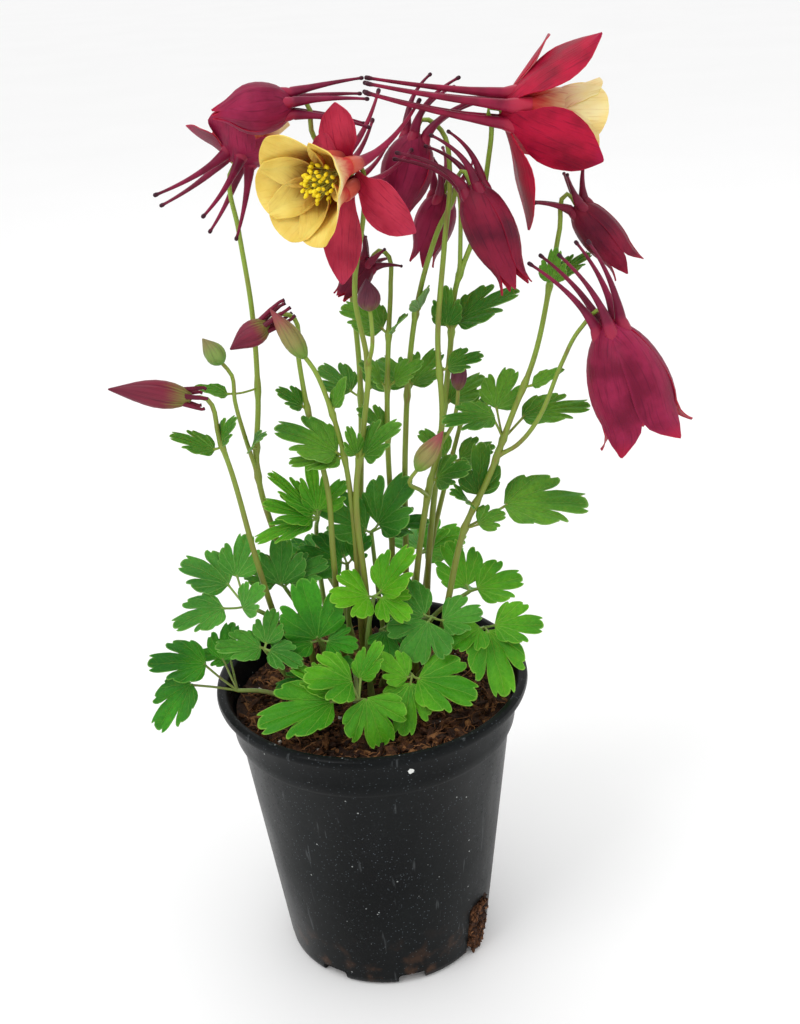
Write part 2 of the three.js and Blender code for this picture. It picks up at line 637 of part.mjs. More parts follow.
// One leaflet with its own stalk from the hub: a fan of triangles round a point near its base, folded
// a little along the midrib, with a drooping tip. The stalk grows out of the fan's lowest edge.
function leaflet(hub, [bx, by, bz, tx, ty, tz, width]) {
  const base = vec([bx, by, bz]);
  const along = vec([tx, ty, tz]).sub(base);
  const length = FULLNESS.length * along.length();
  along.normalize();
  const face = vec(LEAF_FACE);
  face.addScaledVector(along, -face.dot(along)).normalize();
  const across = along.clone().cross(face);
  const edge = leafletEdge(length, FULLNESS.width * width);
  const widest = Math.max(...edge.map(([degrees, reach]) => reach * Math.sin(radians(degrees))));
  const slim = (FULLNESS.width * width) / (2 * widest * length);
  const place = (u, v) => {
    const lift = FOLD * Math.abs(u) - DROOP * length * (v / length) ** 2;
    return base.clone().addScaledVector(across, u).addScaledVector(along, v).addScaledVector(face, lift);
  };
  const edgePoint = ([degrees, reach], side) => {
    const turn = radians(degrees);
    return place(side * slim * length * reach * Math.sin(turn), length * reach * Math.cos(turn));
  };
  const outline = [
    place(-STALKLET, 0),
    ...edge.slice(1).reverse().map((entry) => edgePoint(entry, -1)),
    ...edge.map((entry) => edgePoint(entry, 1)),
    place(STALKLET, 0),
  ];
  const ring = [place(0, FAN_HEART * length), ...outline];
  const count = outline.length;
  const under = ring.length;
  const half = face.clone().multiplyScalar(BLADE / 2);
  const points = [...ring.map((p) => p.clone().add(half)), ...ring.map((p) => p.clone().sub(half))];
  const quad = (a, b, c, d) => [[a, b, c], [a, c, d]];
  const faces = [];
  for (let i = 1; i <= count; i += 1) {
    const next = (i % count) + 1;
    faces.push([0, next, i], [under, under + i, under + next]);
    if (next > 1) faces.push(...quad(i, next, under + next, under + i));
  }
  const foot = points.length;
  const climb = base.clone().sub(hub).normalize();
  const side = across.clone().addScaledVector(climb, -across.dot(climb)).normalize().multiplyScalar(STALKLET);
  const top = side.clone().cross(climb).normalize().multiplyScalar(BLADE / 2);
  [[-1, 1], [1, 1], [1, -1], [-1, -1]].forEach(([s, t]) => {
    points.push(hub.clone().addScaledVector(side, s).addScaledVector(top, t));
  });
  const mouth = [1, count, under + count, under + 1];
  mouth.forEach((a, k) => {
    const b = mouth[(k + 1) % 4];
    faces.push(...quad(a, foot + k, foot + ((k + 1) % 4), b));
  });
  faces.push(...quad(foot, foot + 3, foot + 2, foot + 1));
  return solidOf(points, faces);
}

// The centre line of a stalk that stands upright in its hole in the soil before it leans away.
function standingLine(foot, route, spacing) {
  const bottom = vec([foot[0], foot[1], SOIL.level - SOIL.holeDepth + 1]);
  const out = [foot[0], foot[1], SOIL.level + SOIL.roughness + 1];
  return [bottom, ...smoothLine([out, ...route].map(vec), spacing)];
}

function basalLeafSolid({ foot, bends, hub, leaflets }) {
  const line = standingLine(foot, [...bends, hub], PETIOLE.spacing);
  const [before, end] = line.slice(-2);
  end.addScaledVector(end.clone().sub(before).normalize(), OVERRUN);
  return fuse([stalk(line, PETIOLE), ...leaflets.map((entry) => leaflet(vec(hub), entry))]);
}

// The last points of a stem, which comes in along the axis of the flower or bud that it carries.
function stemEnd(name) {
  const { at, axis, size } = [...FLOWERS, ...BUDS].find((bloom) => bloom.name === name);
  const back = size === undefined ? 0 : HEART.back * size;
  return [LEAD, back + GAP].map((distance) => {
    return vec(at).addScaledVector(vec(axis).normalize(), -distance).toArray();
  });
}

// The point of a centre line nearest to a spot.
function nearestOn(line, spot) {
  const nearest = line.slice(1).map((end, i) => {
    return new THREE.Line3(line[i], end).closestPointToPoint(spot, true, new THREE.Vector3());
  });
  return nearest.sort((a, b) => a.distanceTo(spot) - b.distanceTo(spot))[0];
}

function floweringStemSolid({ foot, route, carries, branches = [], leaves }) {
  const line = standingLine(foot, carries ? [...route, ...stemEnd(carries)] : route, STEM.spacing);
  const solids = [stalk(line, STEM)];
  branches.forEach((branch) => {
    const start = nearestOn(line, vec(branch.route[0]));
    const side = [...branch.route.slice(1), ...stemEnd(branch.carries)].map(vec);
    solids.push(stalk(smoothLine([start, ...side], BRANCH.spacing), BRANCH));
  });
  leaves.forEach(({ from, leaflets }) => {
    const hub = nearestOn(line, vec(from));
    leaflets.forEach((entry) => solids.push(leaflet(hub, entry)));
  });
  return fuse(solids);
}

// ---------------------------------------------------------------- flowers

// The flower's own directions: forward out of the mouth, up and right as one looks into it.
function flowerFrame(at, axis) {
  const forward = vec(axis).normalize();
  const up = new THREE.Vector3(0, 0, 1).addScaledVector(forward, -forward.z).normalize();
  const right = up.clone().cross(forward);
  const origin = vec(at);
  return {
    forward,
    place(turn, radius, height, sideways = 0) {
      const angle = radians(turn);
      const out = right.clone().multiplyScalar(Math.cos(angle)).addScaledVector(up, Math.sin(angle));
      const round = up.clone().multiplyScalar(Math.cos(angle)).addScaledVector(right, -Math.sin(angle));
      const spot = origin.clone().addScaledVector(out, radius).addScaledVector(forward, height);
      return spot.addScaledVector(round, sideways);
    },
  };
}

// The line of a sepal's or petal's midrib in its own plane: radius and height at each share of its
// length, bent so that its angle to the axis runs through the given ones.
function midrib(start, length, angles, shares) {
  const steps = 100;
  const line = [];
  let [radius, height] = start;
  for (let i = 0; i <= steps; i += 1) {
    const spot = (i / steps) * (angles.length - 1);
    const low = Math.min(Math.floor(spot), angles.length - 2);
    const angle = radians(THREE.MathUtils.lerp(angles[low], angles[low + 1], spot - low));
    line.push({ radius, height, angle });
    radius += (Math.sin(angle) * length) / steps;
    height += (Math.cos(angle) * length) / steps;
  }
  return shares.map((share) => line[Math.round(share * steps)]);
}

// Points across the midrib of a petal or sepal, with its edges drawn in towards the mouth by cup, as a
// share of its half width. The normals point away from the flower's axis.
function acrossMidrib(frame, turn, { radius, height, angle }, half, cup) {
  const normal = frame.place(turn, Math.cos(angle), -Math.sin(angle)).sub(frame.place(turn, 0, 0));
  return [-1, 0, 1].map((side) => {
    const inward = side === 0 ? 0 : cup * half;
    const [out, along] = [radius - inward * Math.cos(angle), height + inward * Math.sin(angle)];
    return { place: frame.place(turn, out, along, side * half), normal };
  });
}

const HOLLOW = 0.92; // radius of a crown between two sepals, as a share of that at their midribs

// Five pointed sepals in one crown, each along its own line. Rows without a width run right round,
// through the hollows between neighbours; in the rows above, each sepal stands free of the next. The
// crown is solid up to its second row.
function crownSolid(frame, turns, hollows, lines, rows, { width, cup }) {
  const shell = new Shell();
  const hollow = (n, i) => {
    const k = n % turns.length;
    const [before, after] = [lines[(k + 4) % 5][i], lines[k][i]];
    const mean = (key) => (before[key] + after[key]) / 2;
    const normal = frame.place(hollows[k], Math.cos(mean('angle')), -Math.sin(mean('angle')));
    const spot = frame.place(hollows[k], HOLLOW * mean('radius'), mean('height'));
    return shell.pair(`hollow ${k} ${i}`, spot, normal.sub(frame.place(0, 0, 0)));
  };
  const middle = (n, i) => {
    const [, { place, normal }] = acrossMidrib(frame, turns[n], lines[n][i], 0, 0);
    return shell.pair(`middle ${n} ${i}`, place, normal);
  };
  turns.forEach((turn, n) => {
    const grid = rows.map(([, wide], i) => {
      if (wide === undefined) return [hollow(n, i), middle(n, i), hollow(n + 1, i)];
      const near = Math.min(turn - hollows[n], (hollows[(n + 1) % 5] - turn + 360) % 360);
      const room = HOLLOW * lines[n][i].radius * Math.tan(radians(near));
      const half = Math.min(room, (wide * width) / 2);
      const [left, , right] = acrossMidrib(frame, turn, lines[n][i], half, cup);
      return [
        shell.pair(`left ${n} ${i}`, left.place, left.normal), middle(n, i),
        shell.pair(`right ${n} ${i}`, right.place, right.normal),
      ];
    });
    for (let i = 1; i < rows.length; i += 1) {
      const [low, high] = [grid[i - 1], grid[i]];
      shell.outer(low[1], high[1], high[0], low[0]);
      shell.outer(low[1], low[2], high[2], high[1]);
      if (i > 1) {
        shell.inner(low[1], high[1], high[0], low[0]);
        shell.inner(low[1], low[2], high[2], high[1]);
      }
      if (rows[i][1] !== undefined) {
        shell.wall(high[0], low[0]);
        shell.wall(low[2], high[2]);
      }
    }
    const top = grid[rows.length - 1];
    const tip = middle(n, rows.length);
    shell.patch(top[1], tip, top[0]);
    shell.patch(top[1], top[2], tip);
    shell.wall(tip, top[0]);
    shell.wall(top[2], tip);
  });
  const round = (i) => turns.flatMap((_, n) => [hollow(n, i), middle(n, i)]).reverse();
  shell.outer(...round(0));
  shell.inner(...round(1));
  return shell.solid();
}

const HEART = { radius: 1.8, back: 1.6 }; // the foot of the sepals, in a fully open flower

// Where a spur starts, as [distance from the axis, height, thickness] in a fully open flower: in the
// mouth of an open flower, and inside the heart of one that is still closed.
const OPEN_SPUR = [[6.2, 7, 3], [5, 0, 2.3]];
const CLOSED_SPUR = [[2.6, 0.4, 1.6], [5, -1.2, 2]];

// A spur runs back past the stem, tapering, as stops of [share of the length, thickness].
const LONG_SPUR = [[0.25, 1.45], [0.65, 0.9], [1, 0.8]];
const SHORT_SPUR = [[0.5, 1], [1, 0.75]];
const SHORT = 30; // millimetres, below which a spur has only the stops of SHORT_SPUR
const SPUR_STEPS = 40;

function spurSolid(frame, turn, { size, petal, spur }) {
  const foot = (petal ? OPEN_SPUR : CLOSED_SPUR).map((values) => values.map((value) => value * size));
  const centres = foot.map(([radius, height]) => frame.place(turn, radius, height));
  const radii = foot.map(([, , thickness]) => thickness);
  const stops = new Map(spur.length < SHORT ? SHORT_SPUR : LONG_SPUR);
  let [radius, height] = foot[1];
  for (let i = 1; i <= SPUR_STEPS; i += 1) {
    const share = i / SPUR_STEPS;
    const angle = radians(spur.spread + spur.curl * share);
    radius += (Math.sin(angle) * spur.length) / SPUR_STEPS;
    height -= (Math.cos(angle) * spur.length) / SPUR_STEPS;
    if (stops.has(share)) {
      centres.push(frame.place(turn, radius, height).addScaledVector(vec(spur.sway), share ** 2));
      radii.push(stops.get(share));
    }
  }
  return tubeThrough(centres, radii, 3);
}

const sepalTurns = ({ turn, turns }) => turns ?? [0, 72, 144, 216, 288].map((step) => turn + step);

// The directions of the spurs, each midway between a sepal and the one before it.
function spurTurns(flower) {
  const turns = sepalTurns(flower);
  return turns.map((turn, i) => (turn + (i > 0 ? turns[i - 1] : turns[4] - 360)) / 2);
}

// Rows of sepals and petals: share of the length, and share of the width where they are free. The
// sepals of a bell meet in all of its rows.
const OPEN_ROWS = [[0], [0.13], [0.24, 0.42], [0.48, 1], [0.8, 0.74]];
const BELL_ROWS = [[0], [0.2], [0.5], [0.76]];
const CUP_ROWS = [[0], [0.5, 1], [1, 0.72]];

const ALIKE = { reach: [1, 1, 1, 1, 1], lean: [0, 0, 0, 0, 0] }; // five sepals that don't differ

function sepalRows({ petal, sepal, size, reach = ALIKE.reach, lean = ALIKE.lean }) {
  const rows = petal ? OPEN_ROWS : BELL_ROWS;
  const shares = [...rows.map(([share]) => share), 1];
  const start = [HEART.radius * size, -HEART.back * size];
  const lines = reach.map((part, n) => {
    const angles = sepal.flare.map((angle, i) => (i > 0 ? angle + lean[n] : angle));
    return midrib(start, sepal.length * part, angles, shares);
  });
  return { rows, lines };
}

// Sepals and spurs. Those of a flower without a showing petal still close in a bell.
function crimsonSolid(flower) {
  const frame = flowerFrame(flower.at, flower.axis);
  const { rows, lines } = sepalRows(flower);
  const hollows = spurTurns(flower);
  const crown = crownSolid(frame, sepalTurns(flower), hollows, lines, rows, flower.sepal);
  return fuse([crown, ...hollows.map((turn) => spurSolid(frame, turn, flower))]);
}

const CUP = { radius: 6.2, height: 8.3, curl: 0.12, lap: 0.4 }; // the foot of the petals, fully open

// One petal: a closed blade as wide at its foot as the room up to its neighbours, which it laps a little.
function petalSolid(frame, turn, rooms, line, { width }) {
  const shell = new Shell();
  const grid = CUP_ROWS.map(([, wide], i) => {
    const halves = wide === undefined
      ? rooms.map((room) => line[i].radius * Math.tan(radians(room)) + CUP.lap)
      : [(wide * width) / 2, (wide * width) / 2];
    const [left, middle] = acrossMidrib(frame, turn, line[i], halves[0], CUP.curl);
    const right = acrossMidrib(frame, turn, line[i], halves[1], CUP.curl)[2];
    return [left, middle, right].map(({ place, normal }, k) => shell.pair(`${i} ${k}`, place, normal));
  });
  for (let i = 1; i < grid.length; i += 1) {
    const [low, high] = [grid[i - 1], grid[i]];
    shell.patch(low[1], high[1], high[0], low[0]);
    shell.patch(low[1], low[2], high[2], high[1]);
    shell.wall(high[0], low[0]);
    shell.wall(low[2], high[2]);
  }
  const [bottom, top] = [grid[0], grid[grid.length - 1]];
  shell.wall(top[2], top[1]);
  shell.wall(top[1], top[0]);
  shell.wall(bottom[0], bottom[1]);
  shell.wall(bottom[1], bottom[2]);
  return shell.solid();
}

// The blades of the petals, which stand in a cup on the mouths of the spurs.
function yellowSolid(flower) {
  const frame = flowerFrame(flower.at, flower.axis);
  const { length, flare } = flower.petal;
  const start = [CUP.radius * flower.size, CUP.height * flower.size];
  const line = midrib(start, length, flare, CUP_ROWS.map(([share]) => share));
  const turns = spurTurns(flower);
  return fuse(turns.map((turn, i) => {
    const before = (turn - turns[(i + 4) % 5] + 360) % 360;
    const after = (turns[(i + 1) % 5] - turn + 360) % 360;
    return petalSolid(frame, turn, [before / 2, after / 2], line, flower.petal);
  }));
}

const COLUMN = { height: 19, radii: [1.6, 0.9] }; // the styles, bundled
const STAMEN_COUNT = 5;
const THREAD = { inside: 0.7, length: 6, radius: 0.4 }; // a stamen, from where it leaves the column
const NEAREST = { spread: 2.6, reach: 13 }; // the closest and lowest that an anther can be
const SCATTER = { spread: 3, reach: 8 }; // how much farther out and higher it may be
const ANTHER = { half: 1.6, radius: 1.15, lean: 0.3 };

// The column of styles with its brush of stamens, each a thread that swells into an anther.
function stamensSolid(flower) {
  const frame = flowerFrame(flower.at, flower.axis);
  const floor = Math.max(...sepalRows(flower).lines.map((line) => line[1].height));
  const foot = floor + BLADE / 2 + GAP;
  const column = [foot, COLUMN.height].map((height) => frame.place(0, 0, height));
  const solids = [tubeThrough(column, COLUMN.radii, 5)];
  for (let i = 0; i < STAMEN_COUNT; i += 1) {
    const turn = (360 * i) / STAMEN_COUNT + 20 * draw(i + 11);
    const spread = NEAREST.spread + SCATTER.spread * draw(i + 31);
    const reach = NEAREST.reach + SCATTER.reach * draw(i + 57);
    const stops = [
      [THREAD.inside, reach - THREAD.length], [spread, reach - ANTHER.half],
      [spread + ANTHER.lean, reach], [spread + 2 * ANTHER.lean, reach + ANTHER.half],
    ];
    const centres = stops.map(([radius, height]) => frame.place(turn, radius, height));
    solids.push(tubeThrough(centres, [THREAD.radius, THREAD.radius, ANTHER.radius, THREAD.radius], 3));
  }
  return fuse(solids);
}

// ---------------------------------------------------------------- buds

// The oval of a bud, as stops of [share of the length, share of the radius].
const BUD_SHAPE = [[0, 0.34], [0.15, 0.78], [0.42, 1], [0.76, 0.58], [1, 0.12]];
const BUD_SPUR = [0.9, 0.6]; // thickness at the foot and the end of each spur

function budSolid({ at, axis, length, radius, spur }) {
  const frame = flowerFrame(at, axis);
  const rings = BUD_SHAPE.map(([share, width]) => [frame.place(0, 0, share * length), width * radius]);
  const solids = [tubeThrough(rings.map(([centre]) => centre), rings.map(([, wide]) => wide), 5)];
  if (spur > 0) {
    for (let i = 0; i < 5; i += 1) {
      const turn = 72 * i + 18;
      const stops = [[0.5 * radius, 0.1 * length], [0.75 * radius, -spur]];
      solids.push(tubeThrough(stops.map(([out, along]) => frame.place(turn, out, along)), BUD_SPUR, 3));
    }
  }
  return fuse(solids);
}

// ---------------------------------------------------------------- the plant in its pot

const columbine = new THREE.Group();

const holes = [
  ...BASAL_LEAVES.map(({ foot }) => ({ foot, radius: PETIOLE.foot + 2 * GAP })),
  ...FLOWERING_STEMS.map(({ foot }) => ({ foot, radius: STEM.foot + 2 * GAP })),
];
columbine.add(meshOf('pot', potSolid(), 'pot'));
columbine.add(meshOf('soil', soilSolid(holes), 'soil'));
BASAL_LEAVES.forEach((leaf) => columbine.add(meshOf(leaf.name, basalLeafSolid(leaf), 'leaf')));
FLOWERING_STEMS.forEach((stem) => columbine.add(meshOf(stem.name, floweringStemSolid(stem), 'stem')));
FLOWERS.forEach((flower) => {
  columbine.add(meshOf(`${flower.name}_crimson`, crimsonSolid(flower), 'crimson'));
  if (flower.petal) {
    columbine.add(meshOf(`${flower.name}_yellow`, yellowSolid(flower), 'yellow'));
    columbine.add(meshOf(`${flower.name}_stamens`, stamensSolid(flower), 'anther'));
  }
});
BUDS.forEach((bud) => columbine.add(meshOf(bud.name, budSolid(bud), 'bud')));

export default columbine;
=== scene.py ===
import math
import random

import bpy
from mathutils import Matrix, Vector, noise
from mathutils.geometry import interpolate_bezier, intersect_point_line


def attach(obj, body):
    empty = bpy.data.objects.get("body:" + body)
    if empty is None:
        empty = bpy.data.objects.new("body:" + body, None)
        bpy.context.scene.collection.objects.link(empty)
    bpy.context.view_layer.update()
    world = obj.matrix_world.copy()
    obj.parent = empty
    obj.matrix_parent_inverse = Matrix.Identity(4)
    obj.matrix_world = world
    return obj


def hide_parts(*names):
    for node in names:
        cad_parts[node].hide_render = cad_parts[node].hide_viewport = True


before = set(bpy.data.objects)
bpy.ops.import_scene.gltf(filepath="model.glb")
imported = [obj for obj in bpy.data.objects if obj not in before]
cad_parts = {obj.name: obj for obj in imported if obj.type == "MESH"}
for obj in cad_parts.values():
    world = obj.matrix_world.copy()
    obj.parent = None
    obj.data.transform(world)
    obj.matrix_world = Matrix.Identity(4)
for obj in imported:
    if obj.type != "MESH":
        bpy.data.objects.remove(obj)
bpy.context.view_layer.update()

# ---------------------------------------------------------------- nursery pot
# A round thin-walled pot, injection moulded in black plastic: a tapered wall, a step below the
# banded rim, a rolled lip, and drain slots round the foot. One slot runs on up the wall.

MM = 0.001  # sizes and places are in millimetres, unless a comment says otherwise

POT_SIDES = 128
POT_OUTSIDE = [
    (43.6, 0.5), (44.6, 1.8), (45, 4), (51, 56), (57, 107.4), (57.5, 108.5), (58.8, 109.3), (59.3, 110.6),
    (59.7, 114), (60.6, 123.4), (61.2, 124.7), (63.2, 125.2), (64.6, 126.1), (65, 127.6), (64.7, 129.1),
    (63.9, 129.8), (63, 130),
]
POT_INSIDE = [
    (61.8, 129.8), (60.9, 129), (60.2, 127.6), (59.4, 123), (58.1, 111.2), (57.4, 110.2), (56.2, 109.3),
    (55.7, 107.4), (43.7, 5), (42.4, 2.6), (40.7, 1.8),
]
POT_BASE = 42
SLOTS = 8
SLOT_TURN = -35  # degrees, of the slot that runs up the wall
TALL_SLOT = (14, 27)  # width and top
LOW_SLOT = (12, 5)
SLOT_CUT = (50, 30, 5)  # distance of its middle from the axis, length, and reach below the base
SLOT_CORNER = 1.6
SPLASH_HEIGHT = 34  # how far up the wall the mud reaches
CRUMB_PLACE = (0.0120, -0.0590, 0.1201)  # in metres, of a white crumb stuck to the band


def deselect():
    bpy.ops.object.select_all(action="DESELECT")


def pick(*pieces):
    """Selects these pieces alone, and makes the first one active."""
    deselect()
    for piece in pieces:
        piece.select_set(True)
    bpy.context.view_layer.objects.active = pieces[0]


def work(piece, kind, **settings):
    """Gives a piece one modifier and applies it."""
    pick(piece)
    modifier = piece.modifiers.new(kind, kind)
    for name, value in settings.items():
        setattr(modifier, name, value)
    bpy.ops.object.modifier_apply(modifier=modifier.name)


def smooth(piece, degrees=50):
    pick(piece)
    bpy.ops.object.shade_smooth_by_angle(angle=math.radians(degrees))


def joined(pieces, name):
    pick(*pieces)
    bpy.ops.object.join()
    pieces[0].name = name
    return pieces[0]


def tint(red, green, blue):
    """A colour as the eye reads it, 0 to 255, in the linear values that a shader takes."""
    shares = [value / 255 for value in (red, green, blue)]
    return (*[((share + 0.055) / 1.055) ** 2.4 if share > 0.04045 else share / 12.92 for share in shares], 1)


class Finish:
    """A surface finish: one shader, and the patterns that drive its colour, gloss and relief."""

    def __init__(self, name, **sockets):
        self.material = bpy.data.materials.new(name)
        self.material.use_nodes = True
        self.nodes = self.material.node_tree.nodes
        self.links = self.material.node_tree.links
        self.shader = self.nodes["Principled BSDF"]
        for socket, value in sockets.items():
            self.shader.inputs[socket.replace("_", " ")].default_value = value
        self.place = self.node("TexCoord").outputs["Object"]

    def node(self, kind, inputs=None, **settings):
        made = self.nodes.new("ShaderNode" + kind)
        for setting, value in settings.items():
            setattr(made, setting, value)
        for socket, value in (inputs or {}).items():
            if isinstance(value, bpy.types.NodeSocket):
                self.links.new(value, made.inputs[socket])
            else:
                made.inputs[socket].default_value = value
        return made

    def height(self):
        return self.node("SeparateXYZ", {0: self.place}).outputs[2]

    def grown(self):
        """The pattern coordinates of a grown surface, and its ways across and along."""
        spot = self.node("UVMap", uv_map="UVMap").outputs[0]
        across, along, _ = self.node("SeparateXYZ", {0: spot}).outputs
        return spot, across, along

    def edge(self):
        """The share of the way out to the edge of a grown surface."""
        return self.node("Attribute", attribute_name="edge").outputs["Fac"]

    def stretched(self, x, y, z, vector=None):
        return self.node("Mapping", {"Vector": vector or self.place, "Scale": (x, y, z)}).outputs[0]

    def noise(self, scale, detail=3, vector=None, **inputs):
        wanted = {"Vector": vector or self.place, "Scale": scale, "Detail": detail, **inputs}
        return self.node("TexNoise", wanted).outputs[0]

    def cells(self, scale, vector=None, feature="F1", output="Distance"):
        wanted = {"Vector": vector or self.place, "Scale": scale}
        return self.node("TexVoronoi", wanted, feature=feature).outputs[output]

    def sums(self, operation, first, second=0.0, third=0.0):
        return self.node("Math", {0: first, 1: second, 2: third}, operation=operation).outputs[0]

    def times(self, first, second):
        return self.sums("MULTIPLY", first, second)

    def swing(self, pattern, size):
        """Makes a pattern from 0 to 1 swing both ways from 0, by size in all."""
        return self.times(self.sums("SUBTRACT", pattern, 0.5), size)

    def span(self, value, low, high, start=0.0, end=1.0):
        """Runs smoothly from start to end as value goes from low to high."""
        wanted = {"Value": value, "From Min": low, "From Max": high, "To Min": start, "To Max": end}
        return self.node("MapRange", wanted, interpolation_type="SMOOTHSTEP").outputs[0]

    def blend(self, share, first, second):
        """A mix of two colours. Each is a pattern, or red, green and blue for tint."""
        first, second = (tint(*colour) if isinstance(colour, tuple) else colour for colour in (first, second))
        return self.node("Mix", {0: share, 6: first, 7: second}, data_type="RGBA").outputs[2]

    def paint(self, colour, roughness=None, reliefs=()):
        """The finished material. Each relief is a pattern and its depth in metres."""
        self.links.new(colour, self.shader.inputs["Base Color"])
        if roughness is not None:
            self.links.new(roughness, self.shader.inputs["Roughness"])
        normal = None
        for height, depth in reliefs:
            wanted = {"Height": height, "Distance": depth}
            if normal is not None:
                wanted["Normal"] = normal
            normal = self.node("Bump", wanted).outputs[0]
            self.links.new(normal, self.shader.inputs["Normal"])
        return self.material


deselect()
bpy.ops.mesh.primitive_circle_add(vertices=POT_SIDES, radius=POT_BASE * MM, fill_type="NGON")
pot = bpy.context.object
bpy.ops.object.mode_set(mode="EDIT")
bpy.ops.mesh.select_all(action="SELECT")
radius, height = POT_BASE, 0
for wider, higher in POT_OUTSIDE + POT_INSIDE:
    rise = {"value": (0, 0, (higher - height) * MM)}
    bpy.ops.mesh.extrude_region_move(TRANSFORM_OT_translate=rise)
    girth = wider / radius
    bpy.ops.transform.resize(value=(girth, girth, 1), center_override=(0, 0, higher * MM))
    radius, height = wider, higher
bpy.ops.mesh.select_all(action="SELECT")
bpy.ops.mesh.normals_make_consistent(inside=False)
bpy.ops.object.mode_set(mode="OBJECT")

cutters = []
away, length, below = SLOT_CUT
for count in range(SLOTS):
    turn = math.radians(SLOT_TURN + count * 360 / SLOTS)
    width, top = LOW_SLOT if count else TALL_SLOT
    middle = (away * math.cos(turn) * MM, away * math.sin(turn) * MM, (top - below) / 2 * MM)
    bpy.ops.mesh.primitive_cube_add(size=1, location=middle, rotation=(0, 0, turn))
    cutter = bpy.context.object
    cutter.scale = (length * MM, width * MM, (top + below) * MM)
    pick(cutter)
    bpy.ops.object.transform_apply(location=True, rotation=True, scale=True)
    work(cutter, "BEVEL", width=SLOT_CORNER * MM, segments=3)
    cutters.append(cutter)
cutter = joined(cutters, "pot_slots")
work(pot, "BOOLEAN", object=cutter, operation="DIFFERENCE", solver="EXACT")
bpy.data.objects.remove(cutter)
pot.name = "nursery_pot"
smooth(pot, 32)

black = Finish("black_plastic", Specular_IOR_Level=0.09)
haze = black.noise(38, 5, black.stretched(1, 1, 0.35))
hazed = black.blend(black.span(haze, 0.35, 0.75), (5, 7, 8), (14, 17, 18))
dust = black.span(black.noise(900, 2), 0.55, 0.8)
dusted = black.blend(black.times(dust, 0.3), hazed, (48, 52, 54))
settled = black.span(black.noise(26, 3), 0.3, 0.7, 0.35, 0.7)
grit = black.times(black.span(black.cells(640), 0.2, 0.1), settled)
gritty = black.blend(grit, dusted, (84, 92, 98))
speck_kind = black.node("SeparateColor", {0: black.cells(230, output="Color")}).outputs[0]
specks = black.times(black.span(black.cells(230), 0.1, 0.05), black.sums("GREATER_THAN", speck_kind, 0.72))
speckled = black.blend(black.times(specks, 0.75), gritty, (176, 180, 178))
scratches = black.span(black.noise(300, 2, black.stretched(1, 1, 0.06), Roughness=0.7), 0.66, 0.74)
scratched = black.blend(black.times(scratches, 0.3), speckled, (92, 96, 98))
to_crumb = black.node("VectorMath", {0: black.place, 1: CRUMB_PLACE}, operation="DISTANCE").outputs["Value"]
ragged = black.sums("ADD", to_crumb, black.times(black.noise(900, 2), 1.2 * MM))
crumbed = black.blend(black.span(ragged, 1.9 * MM, 1.6 * MM), scratched, (226, 228, 224))
splashes = black.span(black.noise(120, 4), 0.5, 0.72)
mud = black.times(black.span(black.height(), SPLASH_HEIGHT * MM, 0.0), splashes)
muddy = black.blend(black.times(mud, 0.8), crumbed, (74, 50, 34))
gloss = black.sums("ADD", black.span(haze, 0.3, 0.8, 0.27, 0.46), black.times(dust, 0.2))
moulding = [(black.noise(60, 2), 0.25 * MM), (black.noise(1400, 2), 0.015 * MM)]
pot.data.materials.append(black.paint(muddy, gloss, moulding))
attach(pot, "root")
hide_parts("pot")

# ---------------------------------------------------------------- growing medium
# Composted bark with coir: a dark crumbly fill that ends a finger below the lip. Chips and fibres lie
# on it, and some of it shows through the slot in the wall.

SOIL_LEVEL = 117.5
SOIL_EDGE = 57.8
SOIL_SIDES, SOIL_RINGS = 150, 46  # of the rough top
SOIL_UNDER = [(0.01, 2.4), (40, 2.4), (43.2, 6), (55, 107), (57.4, 111)]  # radius and height
SOIL_LUMPS = [(1.3, 17, 3), (1.2, 5, 9), (0.7, 1.9, 5)]  # height, width and layer of the pattern
FIBRE_EDGE = 57.5  # no fibre runs on past this radius
SLOT_FILL = (43.6, 0.11)  # how far out the fill of the slot lies at its foot, and how it leans outwards
ANY_TURN = 6.28  # radians, nearly all the way round
PEAT, DARK_BARK, PALE_BARK, COIR, WHITE_GRAIN = range(5)
NO_SPOT = (0, 0, 0)  # pattern coordinates and edge where no pattern reads them

draw = random.Random(7)


